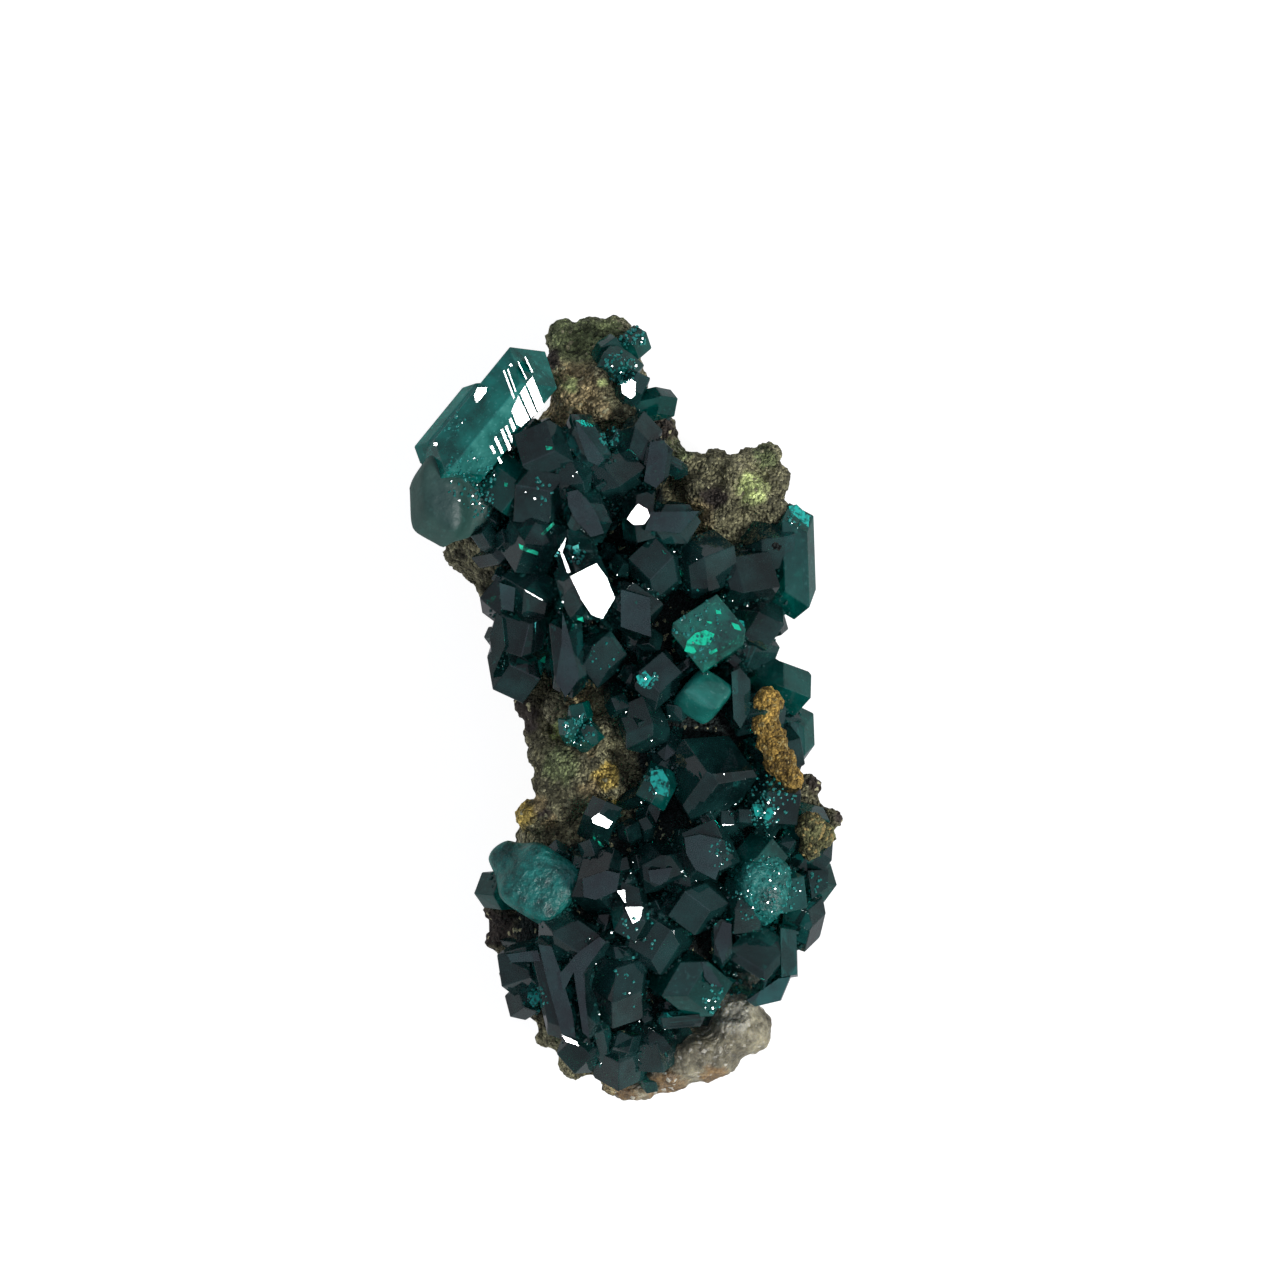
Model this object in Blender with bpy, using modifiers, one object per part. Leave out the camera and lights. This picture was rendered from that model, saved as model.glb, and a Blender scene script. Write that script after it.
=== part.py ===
"""A dioptase specimen: dark green crystals grown over a lumpy brown rock, lying on its flat broken back.

The crystals face up (+Z), the specimen's long direction is Y and its width is X. The origin is under the
middle of the bounding box, on the surface that it rests on. Tables are in millimetres, the model is in metres.
"""
import math
import random
from collections import namedtuple

import bmesh
import bpy
from mathutils import Matrix, Vector, noise

MM = 0.001
GROWTH_GAP = 0.25
FLOOR_Z = 0.0

# A dioptase crystal is a six-sided prism, each end closed by three faces that sit over every second prism
# edge. The angle between such a face's normal and the prism's axis is fixed by the crystal's lattice.
PRISM_SIDES = 6
RHOMB_ANGLE = math.radians(51.0)
END_SETBACK = (0.02, 0.22)

Lump = namedtuple("Lump", "x y z rx ry rz")
Crystal = namedtuple("Crystal", "x y z heading rise radius length spin")

# The rock's body: large rounded masses from the top of the specimen to its foot.
BODY_LUMPS = (
    Lump(-1.7, 16.2, 4.4, 2.7, 3.2, 4.2),
    Lump(-1.4, 12.0, 4.0, 4.6, 4.6, 4.6),
    Lump(-6.0, 9.2, 3.8, 3.9, 3.6, 3.8),
    Lump(4.6, 9.6, 3.8, 3.6, 3.4, 4.2),
    Lump(0.4, 5.2, 3.6, 7.0, 5.6, 4.8),
    Lump(0.8, -0.6, 3.8, 6.2, 4.8, 4.9),
    Lump(1.4, -7.2, 3.8, 7.7, 6.0, 5.0),
    Lump(-0.8, -11.6, 3.8, 6.0, 5.2, 4.8),
    Lump(-0.6, -15.0, 3.6, 3.9, 3.7, 4.2),
)

# Round nodules on the rock where it is bare of crystals: x, y, z and radius.
TOP_NODULES = (
    (-3.3, 18.5, 6.2, 1.15), (-2.1, 18.8, 6.4, 1.05), (-0.9, 18.8, 6.2, 1.0), (-3.5, 17.2, 7.0, 1.1),
    (-2.9, 15.9, 7.9, 1.1), (-1.7, 16.6, 8.1, 1.0), (-3.2, 14.7, 7.9, 1.0), (-1.6, 15.2, 8.4, 0.9),
    (1.4, 14.3, 6.6, 0.8), (-0.3, 15.0, 7.9, 0.9),
)
SHOULDER_NODULES = (
    (2.9, 12.3, 6.9, 1.0), (4.1, 12.4, 7.2, 0.95), (5.2, 12.0, 7.6, 1.0), (6.0, 12.6, 6.9, 0.9),
    (6.8, 12.9, 6.6, 0.85), (7.1, 11.7, 6.8, 0.95), (6.1, 10.9, 7.8, 1.0), (4.8, 10.6, 8.1, 0.8),
    (3.4, 11.1, 7.9, 0.9), (7.0, 10.2, 7.2, 0.9), (7.0, 8.5, 8.0, 0.6), (4.2, 9.7, 8.0, 0.8),
)
ELBOW_NODULES = (
    (-8.7, 8.1, 5.0, 1.1), (-8.0, 7.2, 4.8, 1.0), (-7.2, 6.2, 4.8, 1.0), (-9.0, 9.2, 4.6, 1.1),
)
WAIST_NODULES = (
    (-5.0, 0.3, 6.0, 1.0), (-4.5, -0.9, 6.0, 1.1), (-4.2, -2.1, 7.0, 1.1), (-3.3, -2.4, 7.9, 1.1),
    (-1.9, -2.4, 8.4, 1.0), (-1.0, -3.5, 8.4, 1.0), (-2.5, -3.7, 8.2, 1.1), (-4.0, -3.5, 7.5, 1.1),
    (-1.5, -1.0, 8.5, 0.9), (-3.4, 0.2, 7.7, 1.1), (-5.0, -5.2, 6.8, 1.0), (-3.6, -4.7, 7.8, 0.9),
)
EDGE_NODULES = (
    (9.0, -3.7, 5.2, 0.85), (10.05, -5.3, 5.4, 0.85), (9.2, -5.0, 5.0, 0.9), (-6.6, -10.0, 5.2, 1.0),
    (-6.6, -11.3, 4.8, 0.95), (-6.0, -12.6, 4.8, 0.95), (-5.0, -14.6, 4.8, 1.1), (-4.0, -16.2, 4.8, 1.1),
    (-2.8, -17.6, 4.6, 1.1), (-0.9, -18.5, 4.6, 1.1), (0.6, -18.1, 5.0, 1.1),
)

CALCITE_LUMPS = (
    Lump(5.3, -14.9, 6.0, 1.5, 1.3, 1.7),
    Lump(5.3, -15.9, 5.2, 2.1, 1.8, 2.9),
    Lump(3.4, -17.1, 4.8, 2.6, 1.9, 3.2),
    Lump(1.7, -18.2, 4.4, 1.9, 1.3, 2.6),
    Lump(0.1, -18.9, 4.2, 1.7, 1.0, 2.0),
)

# The crystals that a person would know the specimen by. Heading is the axis' direction seen from above,
# rise is its angle up from the table, spin turns the crystal on its axis: at 0 a prism face looks up, at
# -30 an end face.
FEATURE_CRYSTALS = (
    # great prism at the upper left, a slimmer one along its outer side, a broad one under its end
    Crystal(-7.4, 14.2, 8.7, 231, 7, 1.80, 10.6, 28),
    Crystal(-8.8, 14.5, 8.4, 231, 7, 0.85, 5.6, 0),
    Crystal(-8.5, 10.6, 7.6, 208, 22, 2.10, 6.2, -30),
    Crystal(-6.0, 11.3, 8.5, 250, 46, 1.60, 4.6, 10),
    # top of the specimen
    Crystal(0.9, 15.4, 7.8, 12, 25, 0.85, 3.4, 10),
    Crystal(-0.6, 17.3, 8.1, 140, 45, 0.95, 3.2, 40),
    Crystal(-1.2, 18.2, 7.8, 60, 40, 0.95, 3.0, 0),
    Crystal(-0.1, 18.4, 7.0, 40, 30, 1.00, 3.0, 30),
    # neck, between the great prism and the right shoulder
    Crystal(-2.2, 13.5, 9.5, 121, 6, 0.95, 3.6, 0),
    Crystal(0.3, 13.5, 9.0, 75, 12, 1.10, 3.6, 5),
    Crystal(1.2, 12.4, 9.2, 80, 8, 0.80, 3.0, 0),
    Crystal(-4.3, 13.0, 9.0, 150, 20, 1.60, 4.4, -20),
    Crystal(-4.7, 11.0, 9.1, 230, 26, 1.60, 4.4, 80),
    Crystal(-0.9, 11.6, 9.0, 20, 28, 1.50, 4.2, 45),
    Crystal(-2.9, 11.6, 9.1, 300, 25, 1.40, 4.2, 15),
    # chest
    Crystal(-2.2, 9.9, 10.0, 118, 5, 1.20, 3.6, 0),
    Crystal(1.8, 9.5, 9.7, 180, 4, 1.15, 3.6, 0),
    Crystal(-2.7, 7.9, 9.6, 110, 28, 1.10, 3.4, 15),
    Crystal(0.2, 5.0, 9.8, 90, 5, 1.50, 3.4, 0),
    Crystal(-4.9, 8.7, 9.0, 240, 22, 1.60, 4.4, 40),
    Crystal(3.6, 7.4, 8.9, 30, 26, 1.70, 4.4, 20),
    Crystal(5.6, 6.6, 8.2, 350, 25, 1.70, 4.4, 50),
    Crystal(1.3, 7.2, 9.1, 100, 30, 1.40, 4.2, 80),
    # right side of the chest
    Crystal(8.0, 7.6, 6.6, 92, 6, 1.25, 6.3, 12),
    Crystal(3.8, 3.9, 9.2, 82, 28, 2.10, 5.2, -30),
    Crystal(6.0, 4.6, 7.8, 350, 30, 1.40, 4.2, 10),
    Crystal(6.7, 8.3, 7.0, 20, 35, 1.50, 4.4, 15),
    # left side of the chest
    Crystal(-5.9, 5.4, 7.4, 170, 25, 1.30, 4.0, 0),
    Crystal(-4.9, 5.9, 8.6, 150, 24, 1.40, 4.2, 30),
    Crystal(-5.3, 3.9, 8.4, 200, 22, 1.45, 4.0, -22),
    Crystal(-5.8, 2.6, 7.2, 280, 10, 1.45, 4.9, -18),
    Crystal(-3.2, 2.9, 9.7, 276, 5, 0.95, 4.6, 0),
    Crystal(-1.7, 2.8, 9.2, 60, 28, 1.25, 3.8, 10),
    # waist
    Crystal(3.85, 0.75, 9.4, 90, 6, 1.70, 3.4, -8),
    Crystal(7.3, 1.4, 7.0, 340, 30, 1.35, 4.4, 30),
    Crystal(8.1, -1.2, 6.2, 272, 8, 1.10, 3.8, 0),
    Crystal(6.2, 0.0, 8.4, 10, 28, 1.15, 3.8, 30),
    Crystal(7.1, -2.0, 7.3, 30, 35, 1.35, 4.0, 5),
    Crystal(3.9, -3.2, 8.9, 120, 20, 2.30, 5.6, 35),
    Crystal(1.3, -3.6, 9.7, 250, 55, 0.95, 3.4, 20),
    Crystal(6.9, -4.3, 8.0, 10, 40, 1.60, 4.6, 15),
    Crystal(0.6, -0.6, 9.1, 90, 28, 1.35, 3.8, 50),
    Crystal(1.1, 1.6, 9.1, 75, 30, 1.30, 3.8, 100),
    # lower left
    Crystal(-4.5, -8.5, 8.3, 100, 30, 2.25, 5.4, -30),
    Crystal(-6.0, -7.5, 7.4, 150, 32, 1.20, 3.8, 0),
    Crystal(-6.5, -8.9, 6.6, 185, 20, 1.05, 3.2, 20),
    Crystal(-1.5, -8.4, 9.2, 70, 24, 1.45, 4.2, 35),
    Crystal(-3.8, -13.8, 8.9, 283, 5, 0.95, 5.6, 0),
    Crystal(-2.4, -14.2, 8.8, 273, 5, 0.85, 4.8, 4),
    Crystal(-5.2, -12.7, 7.2, 215, 30, 1.40, 4.0, 10),
    Crystal(-5.1, -14.2, 6.4, 225, 15, 0.95, 3.2, 20),
    Crystal(-0.6, -17.0, 6.6, 268, 20, 1.50, 4.6, 30),
    Crystal(-2.2, -16.5, 6.7, 250, 25, 1.30, 4.2, 5),
    Crystal(1.0, -16.4, 6.9, 290, 30, 1.30, 4.2, 20),
    Crystal(-0.6, -13.6, 8.7, 262, 18, 1.50, 5.0, 40),
    Crystal(-2.9, -11.4, 8.9, 145, 10, 1.40, 4.8, 20),
    # lower right
    Crystal(3.7, -7.0, 9.5, 140, 39, 1.60, 4.4, -30),
    Crystal(1.4, -7.6, 9.2, 30, 25, 1.30, 4.0, 0),
    Crystal(6.2, -7.5, 8.8, 60, 28, 1.30, 3.8, 20),
    Crystal(7.3, -8.9, 8.1, 330, 28, 1.40, 4.0, 80),
    Crystal(5.6, -9.5, 8.9, 250, 26, 1.30, 4.0, 45),
    Crystal(3.4, -9.5, 9.2, 200, 26, 1.40, 4.0, 70),
    Crystal(4.5, -11.4, 9.9, 92, 5, 0.55, 2.6, 0),
    Crystal(6.3, -12.3, 8.2, 95, 8, 1.80, 4.4, -12),
    Crystal(8.5, -10.3, 6.4, 280, 15, 1.30, 3.8, 0),
    Crystal(9.0, -8.4, 6.2, 350, 20, 1.15, 3.2, 30),
    Crystal(8.5, -5.7, 6.4, 12, 28, 1.35, 3.8, 0),
    Crystal(8.8, -7.0, 6.5, 345, 35, 1.20, 3.6, 15),
    Crystal(2.9, -13.5, 8.6, 2, 10, 1.70, 5.0, -12),
    Crystal(2.5, -15.3, 8.5, 5, 4, 0.50, 2.6, 0),
    Crystal(1.4, -11.4, 9.0, 120, 26, 1.60, 4.2, 60),
)

# Crystals with one face turned to the same direction, so that those faces catch the light together.
GLINT = Vector((0.352, -0.203, 0.914))
GLINT_PRISMS = (Crystal(-2.35, 6.35, 10.6, 118, None, 1.45, 4.2, None),)
GLINT_ENDS = (
    Crystal(-0.05, 16.1, 8.2, 95, None, 0.80, 3.2, None),
    Crystal(0.4, 9.9, 9.8, 250, None, 0.95, 3.6, None),
    Crystal(-1.6, -5.4, 8.9, 95, None, 0.95, 3.6, None),
    Crystal(-0.1, -9.7, 9.5, 270, None, 1.00, 4.0, None),
)

WAIST_DRUSE = (
    Crystal(-2.9, -0.9, 9.1, 120, 58, 0.70, 2.8, 0),
    Crystal(-2.2, -1.2, 9.3, 40, 62, 0.65, 2.8, 30),
    Crystal(-2.6, -0.3, 9.1, 80, 50, 0.65, 2.8, 60),
)

# Smaller crystals fill the crust between the ones above.
FILL_SEED = 41
FILL_SPACING = 1.85
FILL_JITTER = 0.4
FILL_RADIUS = (1.1, 1.6)
FILL_LENGTH = 4.4
FILL_TILT = 76.0
FILL_SINK = (-0.1, 0.5)
ROW_STEP = 0.87 * FILL_SPACING
CLEAR_OF_AXIS = 0.35
CLEAR_OF_RADIUS = 0.8
LEAST_EDGE = 0.7

# The crystals' roots have merged into a bed of this thickness on the rock, down to a height over the table.
BED_THICKNESS = 1.15
BED_INSET = 0.9
BED_LOWEST = 4.6
BED_HIGHEST = 15.0

# A row of crystals round the flanks, under the edge of the crust.
FLANK_SPACING = 2.3
FLANK_HEIGHTS = (4.2, 6.2)
FLANK_RADIUS = (1.0, 1.4)
FLANK_LENGTH = 4.0
FLANK_INSET = 1.7
FLANK_RISE = (5, 40)
FLANK_SWING = 25
FLANK_COVER = 1.5

# The edge of the crystal crust, seen from above, counter-clockwise from the great prism.
CRUST_EDGE = (
    (-8.6, 11.0), (-8.8, 9.4), (-7.4, 7.2), (-7.2, 5.4), (-7.0, 3.2), (-6.4, 1.7), (-4.6, 1.2), (-2.2, 1.4),
    (-0.6, -0.4), (-0.2, -2.8), (-0.6, -5.0), (-2.4, -5.6), (-4.4, -6.2), (-6.4, -6.9), (-7.5, -8.6),
    (-6.6, -10.4), (-6.6, -12.8), (-5.4, -14.6), (-3.8, -16.2), (-2.2, -17.8), (-0.6, -18.7), (1.2, -18.2),
    (2.6, -16.2), (5.0, -15.1), (7.2, -13.8), (8.6, -12.0), (9.6, -10.0), (9.8, -8.0), (8.8, -6.2),
    (8.8, -3.4), (8.8, -1.6), (8.4, 1.0), (7.4, 3.2), (8.4, 5.0), (8.8, 8.6), (7.8, 9.4), (5.6, 8.8),
    (3.2, 9.6), (2.2, 11.2),
    (1.8, 13.4), (1.4, 15.6), (-0.6, 15.4), (-1.4, 14.2), (-4.0, 14.6), (-5.4, 15.0),
)

# Earthy ochre coatings on the crystals at the right edge: x, y, z, radius in the plane, half thickness.
OCHRE_UPPER = (
    (6.8, 0.5, 9.3, 0.90, 0.7), (6.7, -0.5, 9.4, 0.85, 0.6), (7.0, -1.4, 9.1, 0.90, 0.7),
    (7.4, -2.4, 8.8, 0.95, 0.8), (7.9, -3.3, 8.7, 0.80, 0.8),
)
OCHRE_LOWER = ((8.9, -5.7, 7.9, 0.85, 0.8), (9.6, -6.1, 7.3, 0.75, 0.8), (8.9, -6.8, 7.7, 0.65, 0.8))

# How finely each skin is melted and thinned, and the depth and grain of its relief.
LUMP_SUBDIVISIONS = 3
ROCK_VOXEL = 0.5
ROCK_TRIANGLES = 2650
ROOM_TRIANGLES = 950
ROCK_RELIEF = 0.42
ROCK_GRAIN = 1.6
BROKEN_BELOW = 6.5
BROKEN_GAIN = 2.2
CALCITE_VOXEL = 0.4
CALCITE_TRIANGLES = 400
CALCITE_RELIEF = 0.4
CALCITE_GRAIN = 1.7
OCHRE_VOXEL = 0.22
OCHRE_TRIANGLES = 190
OCHRE_RELIEF = 0.1
OCHRE_GRAIN = 0.7
OCHRE_NEAR = 3.6

# Steepest slope of the rock that a crystal follows, and the step that measures it.
STEEPEST = 2.0
SLOPE_STEP = 0.4

# Block that cuts the base flat.
TABLE_SIDE = 80.0
TABLE_DEPTH = 10.0


def clear_scene():
    """Start from an empty scene."""
    for thing in list(bpy.data.objects):
        bpy.data.objects.remove(thing)


def new_collection(name):
    """A collection in the scene."""
    collection = bpy.data.collections.new(name)
    bpy.context.scene.collection.children.link(collection)
    return collection


def new_material(name, colour, roughness, transmission=0.0):
    """A Principled material, metallic 0 as stone is."""
    material = bpy.data.materials.new(name)
    material.use_nodes = True
    shader = material.node_tree.nodes["Principled BSDF"]
    shader.inputs["Base Color"].default_value = (*colour, 1.0)
    shader.inputs["Roughness"].default_value = roughness
    shader.inputs["Metallic"].default_value = 0.0
    shader.inputs["Transmission Weight"].default_value = transmission
    return material


def object_from(bm, name, collection, cutter=False):
    """Put a bmesh into a named object."""
    mesh = bpy.data.meshes.new(name)
    bm.to_mesh(mesh)
    bm.free()
    thing = bpy.data.objects.new(name, mesh)
    collection.objects.link(thing)
    if cutter:
        thing.hide_render = True
        thing.display_type = "WIRE"
    return thing


def apply_modifiers(thing):
    """Swap an object's mesh for the one its modifiers give."""
    graph = bpy.context.evaluated_depsgraph_get()
    graph.update()
    mesh = bpy.data.meshes.new_from_object(thing.evaluated_get(graph))
    thing.modifiers.clear()
    thing.data = mesh


def islands(bm):
    """The mesh's connected pieces, each a set of faces."""
    left = set(bm.faces)
    pieces = []
    while left:
        start = left.pop()
        piece = {start}
        waiting = [start]
        while waiting:
            face = waiting.pop()
            near = {other for vert in face.verts for other in vert.link_faces} - piece
            piece |= near
            waiting.extend(near)
        left -= piece
        pieces.append(piece)
    return pieces


def keep_largest_piece(thing):
    """Drop the crumbs and closed bubbles that a cut can leave, so that one body stays."""
    bm = bmesh.new()
    bm.from_mesh(thing.data)
    pieces = sorted(islands(bm), key=lambda piece: sum(face.calc_area() for face in piece))
    for piece in pieces[:-1]:
        bmesh.ops.delete(bm, geom=list(piece), context="FACES")
    bm.to_mesh(thing.data)
    bm.free()


def boolean(thing, operation, other):
    """Add and apply an exact Boolean with an object, or with all that a collection holds."""
    modifier = thing.modifiers.new(operation.lower(), "BOOLEAN")
    modifier.operation = operation
    modifier.solver = "EXACT"
    if isinstance(other, bpy.types.Collection):
        modifier.operand_type = "COLLECTION"
        modifier.collection = other
    else:
        modifier.object = other
    apply_modifiers(thing)


def slice_off(bm, point, normal):
    """Cut away what lies beyond a plane, and close the cut with one flat face."""
    everything = bm.verts[:] + bm.edges[:] + bm.faces[:]
    cut = bmesh.ops.bisect_plane(bm, geom=everything, plane_co=point, plane_no=normal, clear_outer=True)
    rim = [item for item in cut["geom_cut"] if isinstance(item, bmesh.types.BMEdge)]
    bmesh.ops.edgeloop_fill(bm, edges=rim)


def axis_frame(crystal):
    """Rotation that takes local Z to the crystal's axis and local X to its upward side, spin included."""
    heading = math.radians(crystal.heading)
    rise = math.radians(crystal.rise)
    axis = Vector((math.cos(rise) * math.cos(heading), math.cos(rise) * math.sin(heading), math.sin(rise)))
    side = (Vector((0, 0, 1)) - axis * axis.z).normalized()
    basis = Matrix((side, axis.cross(side), axis)).transposed().to_4x4()
    return basis @ Matrix.Rotation(math.radians(crystal.spin), 4, "Z")


def turned_to_light(crystal, from_axis, first_face):
    """Give a crystal the rise and spin that turn one of its faces to the glint's direction."""
    heading = math.radians(crystal.heading)
    flat = Vector((math.cos(heading), math.sin(heading), 0))
    across = (flat - GLINT * flat.dot(GLINT)).normalized()
    axis = (GLINT * math.cos(from_axis) + across * math.sin(from_axis)).normalized()
    rise = math.degrees(math.asin(axis.z))
    turned = crystal._replace(heading=math.degrees(math.atan2(axis.y, axis.x)), rise=rise, spin=0)
    seen = axis_frame(turned).to_3x3().transposed() @ GLINT
    return turned._replace(spin=math.degrees(math.atan2(seen.y, seen.x)) - first_face)


def listed_crystals():
    """All the crystals placed by hand."""
    found = list(FEATURE_CRYSTALS)
    found += [turned_to_light(crystal, math.radians(90), 0) for crystal in GLINT_PRISMS]
    found += [turned_to_light(crystal, RHOMB_ANGLE, 30) for crystal in GLINT_ENDS]
    return found


def crystal_mesh(crystal, swell=0.0):
    """One dioptase crystal: a six-sided prism whose ends are closed by three rhombohedron faces each."""
    radius = (crystal.radius + swell) * MM
    length = (crystal.length + 2 * swell) * MM
    wear = random.Random(round(crystal.x * 100) + round(crystal.y * 7))
    bm = bmesh.new()
    bmesh.ops.create_cone(
        bm, cap_ends=True, segments=PRISM_SIDES, radius1=radius, radius2=radius, depth=length
    )
    for end, first_edge in ((1, 30), (-1, 90)):
        for third in range(3):
            turn = math.radians(first_edge + 120 * third)
            out = math.sin(RHOMB_ANGLE)
            normal = Vector((out * math.cos(turn), out * math.sin(turn), end * math.cos(RHOMB_ANGLE)))
            setback = wear.uniform(*END_SETBACK) * radius
            slice_off(bm, Vector((0, 0, end * (length / 2 - setback))), normal)
    place = Matrix.Translation(Vector((crystal.x, crystal.y, crystal.z)) * MM)
    bmesh.ops.transform(bm, matrix=place @ axis_frame(crystal), verts=bm.verts)
    return bm


def rock_height(x, y):
    """Height of the rock's smooth body over the table, in millimetres."""
    heights = []
    for lump in BODY_LUMPS:
        inside = 1 - ((x - lump.x) / lump.rx) ** 2 - ((y - lump.y) / lump.ry) ** 2
        if inside > 0:
            heights.append(lump.z + lump.rz * math.sqrt(inside))
    return max(heights, default=0.0)


def rock_slope(x, y):
    """Direction straight out of the rock's smooth body."""
    across = (rock_height(x - SLOPE_STEP, y) - rock_height(x + SLOPE_STEP, y)) / (2 * SLOPE_STEP)
    along = (rock_height(x, y - SLOPE_STEP) - rock_height(x, y + SLOPE_STEP)) / (2 * SLOPE_STEP)
    flat = Vector((across, along))
    if flat.length > STEEPEST:
        flat *= STEEPEST / flat.length
    return Vector((flat.x, flat.y, 1)).normalized()


def edge_distance(x, y):
    """How far a point lies inside the crust's edge; negative outside."""
    inside = False
    nearest = math.inf
    for (ax, ay), (bx, by) in zip(CRUST_EDGE, CRUST_EDGE[1:] + CRUST_EDGE[:1]):
        if (ay > y) != (by > y) and x < ax + (y - ay) / (by - ay) * (bx - ax):
            inside = not inside
        run = Vector((bx - ax, by - ay))
        share = max(0.0, min(1.0, Vector((x - ax, y - ay)).dot(run) / run.length_squared))
        nearest = min(nearest, math.hypot(x - ax - share * run.x, y - ay - share * run.y))
    return nearest if inside else -nearest


def leaning(direction, rng, most):
    """A direction tilted at random by up to a number of degrees, as heading and rise."""
    tilt = math.radians(rng.uniform(0, most))
    turn = rng.uniform(0, 2 * math.pi)
    side = direction.orthogonal().normalized()
    side.rotate(Matrix.Rotation(turn, 3, direction))
    leaned = direction * math.cos(tilt) + side * math.sin(tilt)
    return math.degrees(math.atan2(leaned.y, leaned.x)), math.degrees(math.asin(leaned.z))


def axis_distance(x, y, crystal):
    """How far a point lies from a crystal's axis, both seen from above."""
    heading = math.radians(crystal.heading)
    along = Vector((math.cos(heading), math.sin(heading)))
    reach = 0.5 * crystal.length * math.cos(math.radians(crystal.rise))
    offset = Vector((x - crystal.x, y - crystal.y))
    run = max(-reach, min(reach, offset.dot(along)))
    return (offset - along * run).length


def fill_crystals():
    """Crystals on a loose triangular grid over the crust, where no crystal of the list lies already."""
    rng = random.Random(FILL_SEED)
    listed = listed_crystals()
    found = []
    for row in range(-12, 12):
        for column in range(-7, 8):
            x = (column + 0.5 * (row % 2)) * FILL_SPACING + rng.uniform(-FILL_JITTER, FILL_JITTER)
            y = row * ROW_STEP + rng.uniform(-FILL_JITTER, FILL_JITTER)
            radius = rng.uniform(*FILL_RADIUS)
            spin = rng.uniform(0, 120)
            heading, rise = leaning(rock_slope(x, y), rng, FILL_TILT)
            z = rock_height(x, y) + rng.uniform(*FILL_SINK)
            taken = any(
                axis_distance(x, y, other) < CLEAR_OF_AXIS + CLEAR_OF_RADIUS * other.radius
                for other in listed
            )
            if not taken and edge_distance(x, y) > LEAST_EDGE * radius:
                found.append(Crystal(x, y, z, heading, rise, radius, FILL_LENGTH, spin))
    return found


def flank_crystals():
    """Crystals round the flanks, pointing outwards under the crust's edge."""
    rng = random.Random(FILL_SEED + 1)
    found = []
    for (ax, ay), (bx, by) in zip(CRUST_EDGE, CRUST_EDGE[1:] + CRUST_EDGE[:1]):
        run = Vector((bx - ax, by - ay))
        out = Vector((run.y, -run.x)).normalized()
        count = max(1, round(run.length / FLANK_SPACING))
        for step in range(count):
            share = (step + 0.5) / count
            edge = Vector((ax, ay)) + share * run
            root = edge - FLANK_INSET * out
            z = rng.uniform(*FLANK_HEIGHTS)
            radius = rng.uniform(*FLANK_RADIUS)
            heading = math.degrees(math.atan2(out.y, out.x)) + rng.uniform(-FLANK_SWING, FLANK_SWING)
            rise = rng.uniform(*FLANK_RISE)
            spin = rng.uniform(0, 120)
            if rock_height(edge.x + out.x, edge.y + out.y) < z + FLANK_COVER:
                found.append(Crystal(root.x, root.y, z, heading, rise, radius, FLANK_LENGTH, spin))
    return found


def round_lumps(nodules):
    """Nodules as lumps of one radius."""
    return [Lump(x, y, z, radius, radius, radius) for x, y, z, radius in nodules]


def rock_lumps():
    """All that the rock is made of: its body and its nodules."""
    nodules = TOP_NODULES + SHOULDER_NODULES + ELBOW_NODULES + WAIST_NODULES + EDGE_NODULES
    return list(BODY_LUMPS) + round_lumps(nodules)


def lump_mesh(lumps, swell=0.0):
    """Ellipsoids, not yet joined."""
    bm = bmesh.new()
    for lump in lumps:
        radii = Vector((lump.rx + swell, lump.ry + swell, lump.rz + swell)) * MM
        place = Matrix.Translation(Vector((lump.x, lump.y, lump.z)) * MM)
        bmesh.ops.create_icosphere(
            bm, subdivisions=LUMP_SUBDIVISIONS, radius=1.0, matrix=place @ Matrix.Diagonal((*radii, 1))
        )
    return bm


def melt_together(thing, voxel):
    """Join overlapping lumps under one closed skin."""
    remesh = thing.modifiers.new("melt", "REMESH")
    remesh.mode = "VOXEL"
    remesh.voxel_size = voxel * MM
    apply_modifiers(thing)


def roughen(thing, relief, grain):
    """Push the skin in, in a knobbly pattern that grows deeper towards the broken back."""
    bm = bmesh.new()
    bm.from_mesh(thing.data)
    bm.normal_update()
    pushed = []
    for vert in bm.verts:
        place = vert.co / MM
        knobs = noise.voronoi(place / grain)[0][0]
        waves = 0.5 + 0.5 * noise.noise(place / (2.5 * grain))
        lowness = max(0.0, 1 - place.z / BROKEN_BELOW)
        depth = relief * (1 + BROKEN_GAIN * lowness) * min(1.0, 0.7 * knobs + 0.5 * waves)
        pushed.append(vert.co - vert.normal * depth * MM)
    for vert, place in zip(bm.verts, pushed):
        vert.co = place
    bm.to_mesh(thing.data)
    bm.free()


def thin_out(thing, triangles):
    """Bring a mesh down to a number of triangles."""
    bm = bmesh.new()
    bm.from_mesh(thing.data)
    bmesh.ops.triangulate(bm, faces=bm.faces[:])
    bm.to_mesh(thing.data)
    bm.free()
    decimate = thing.modifiers.new("thin", "DECIMATE")
    decimate.ratio = min(1.0, triangles / len(thing.data.polygons))
    apply_modifiers(thing)


def cut_base(thing, cutters):
    """Cut a solid off flat at the table."""
    bm = bmesh.new()
    size = Matrix.Diagonal((TABLE_SIDE * MM, TABLE_SIDE * MM, TABLE_DEPTH * MM, 1))
    place = Matrix.Translation((0, 0, (FLOOR_Z - TABLE_DEPTH / 2) * MM))
    bmesh.ops.create_cube(bm, size=1.0, matrix=place @ size)
    boolean(thing, "DIFFERENCE", object_from(bm, "table_cutter", cutters, cutter=True))


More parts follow.
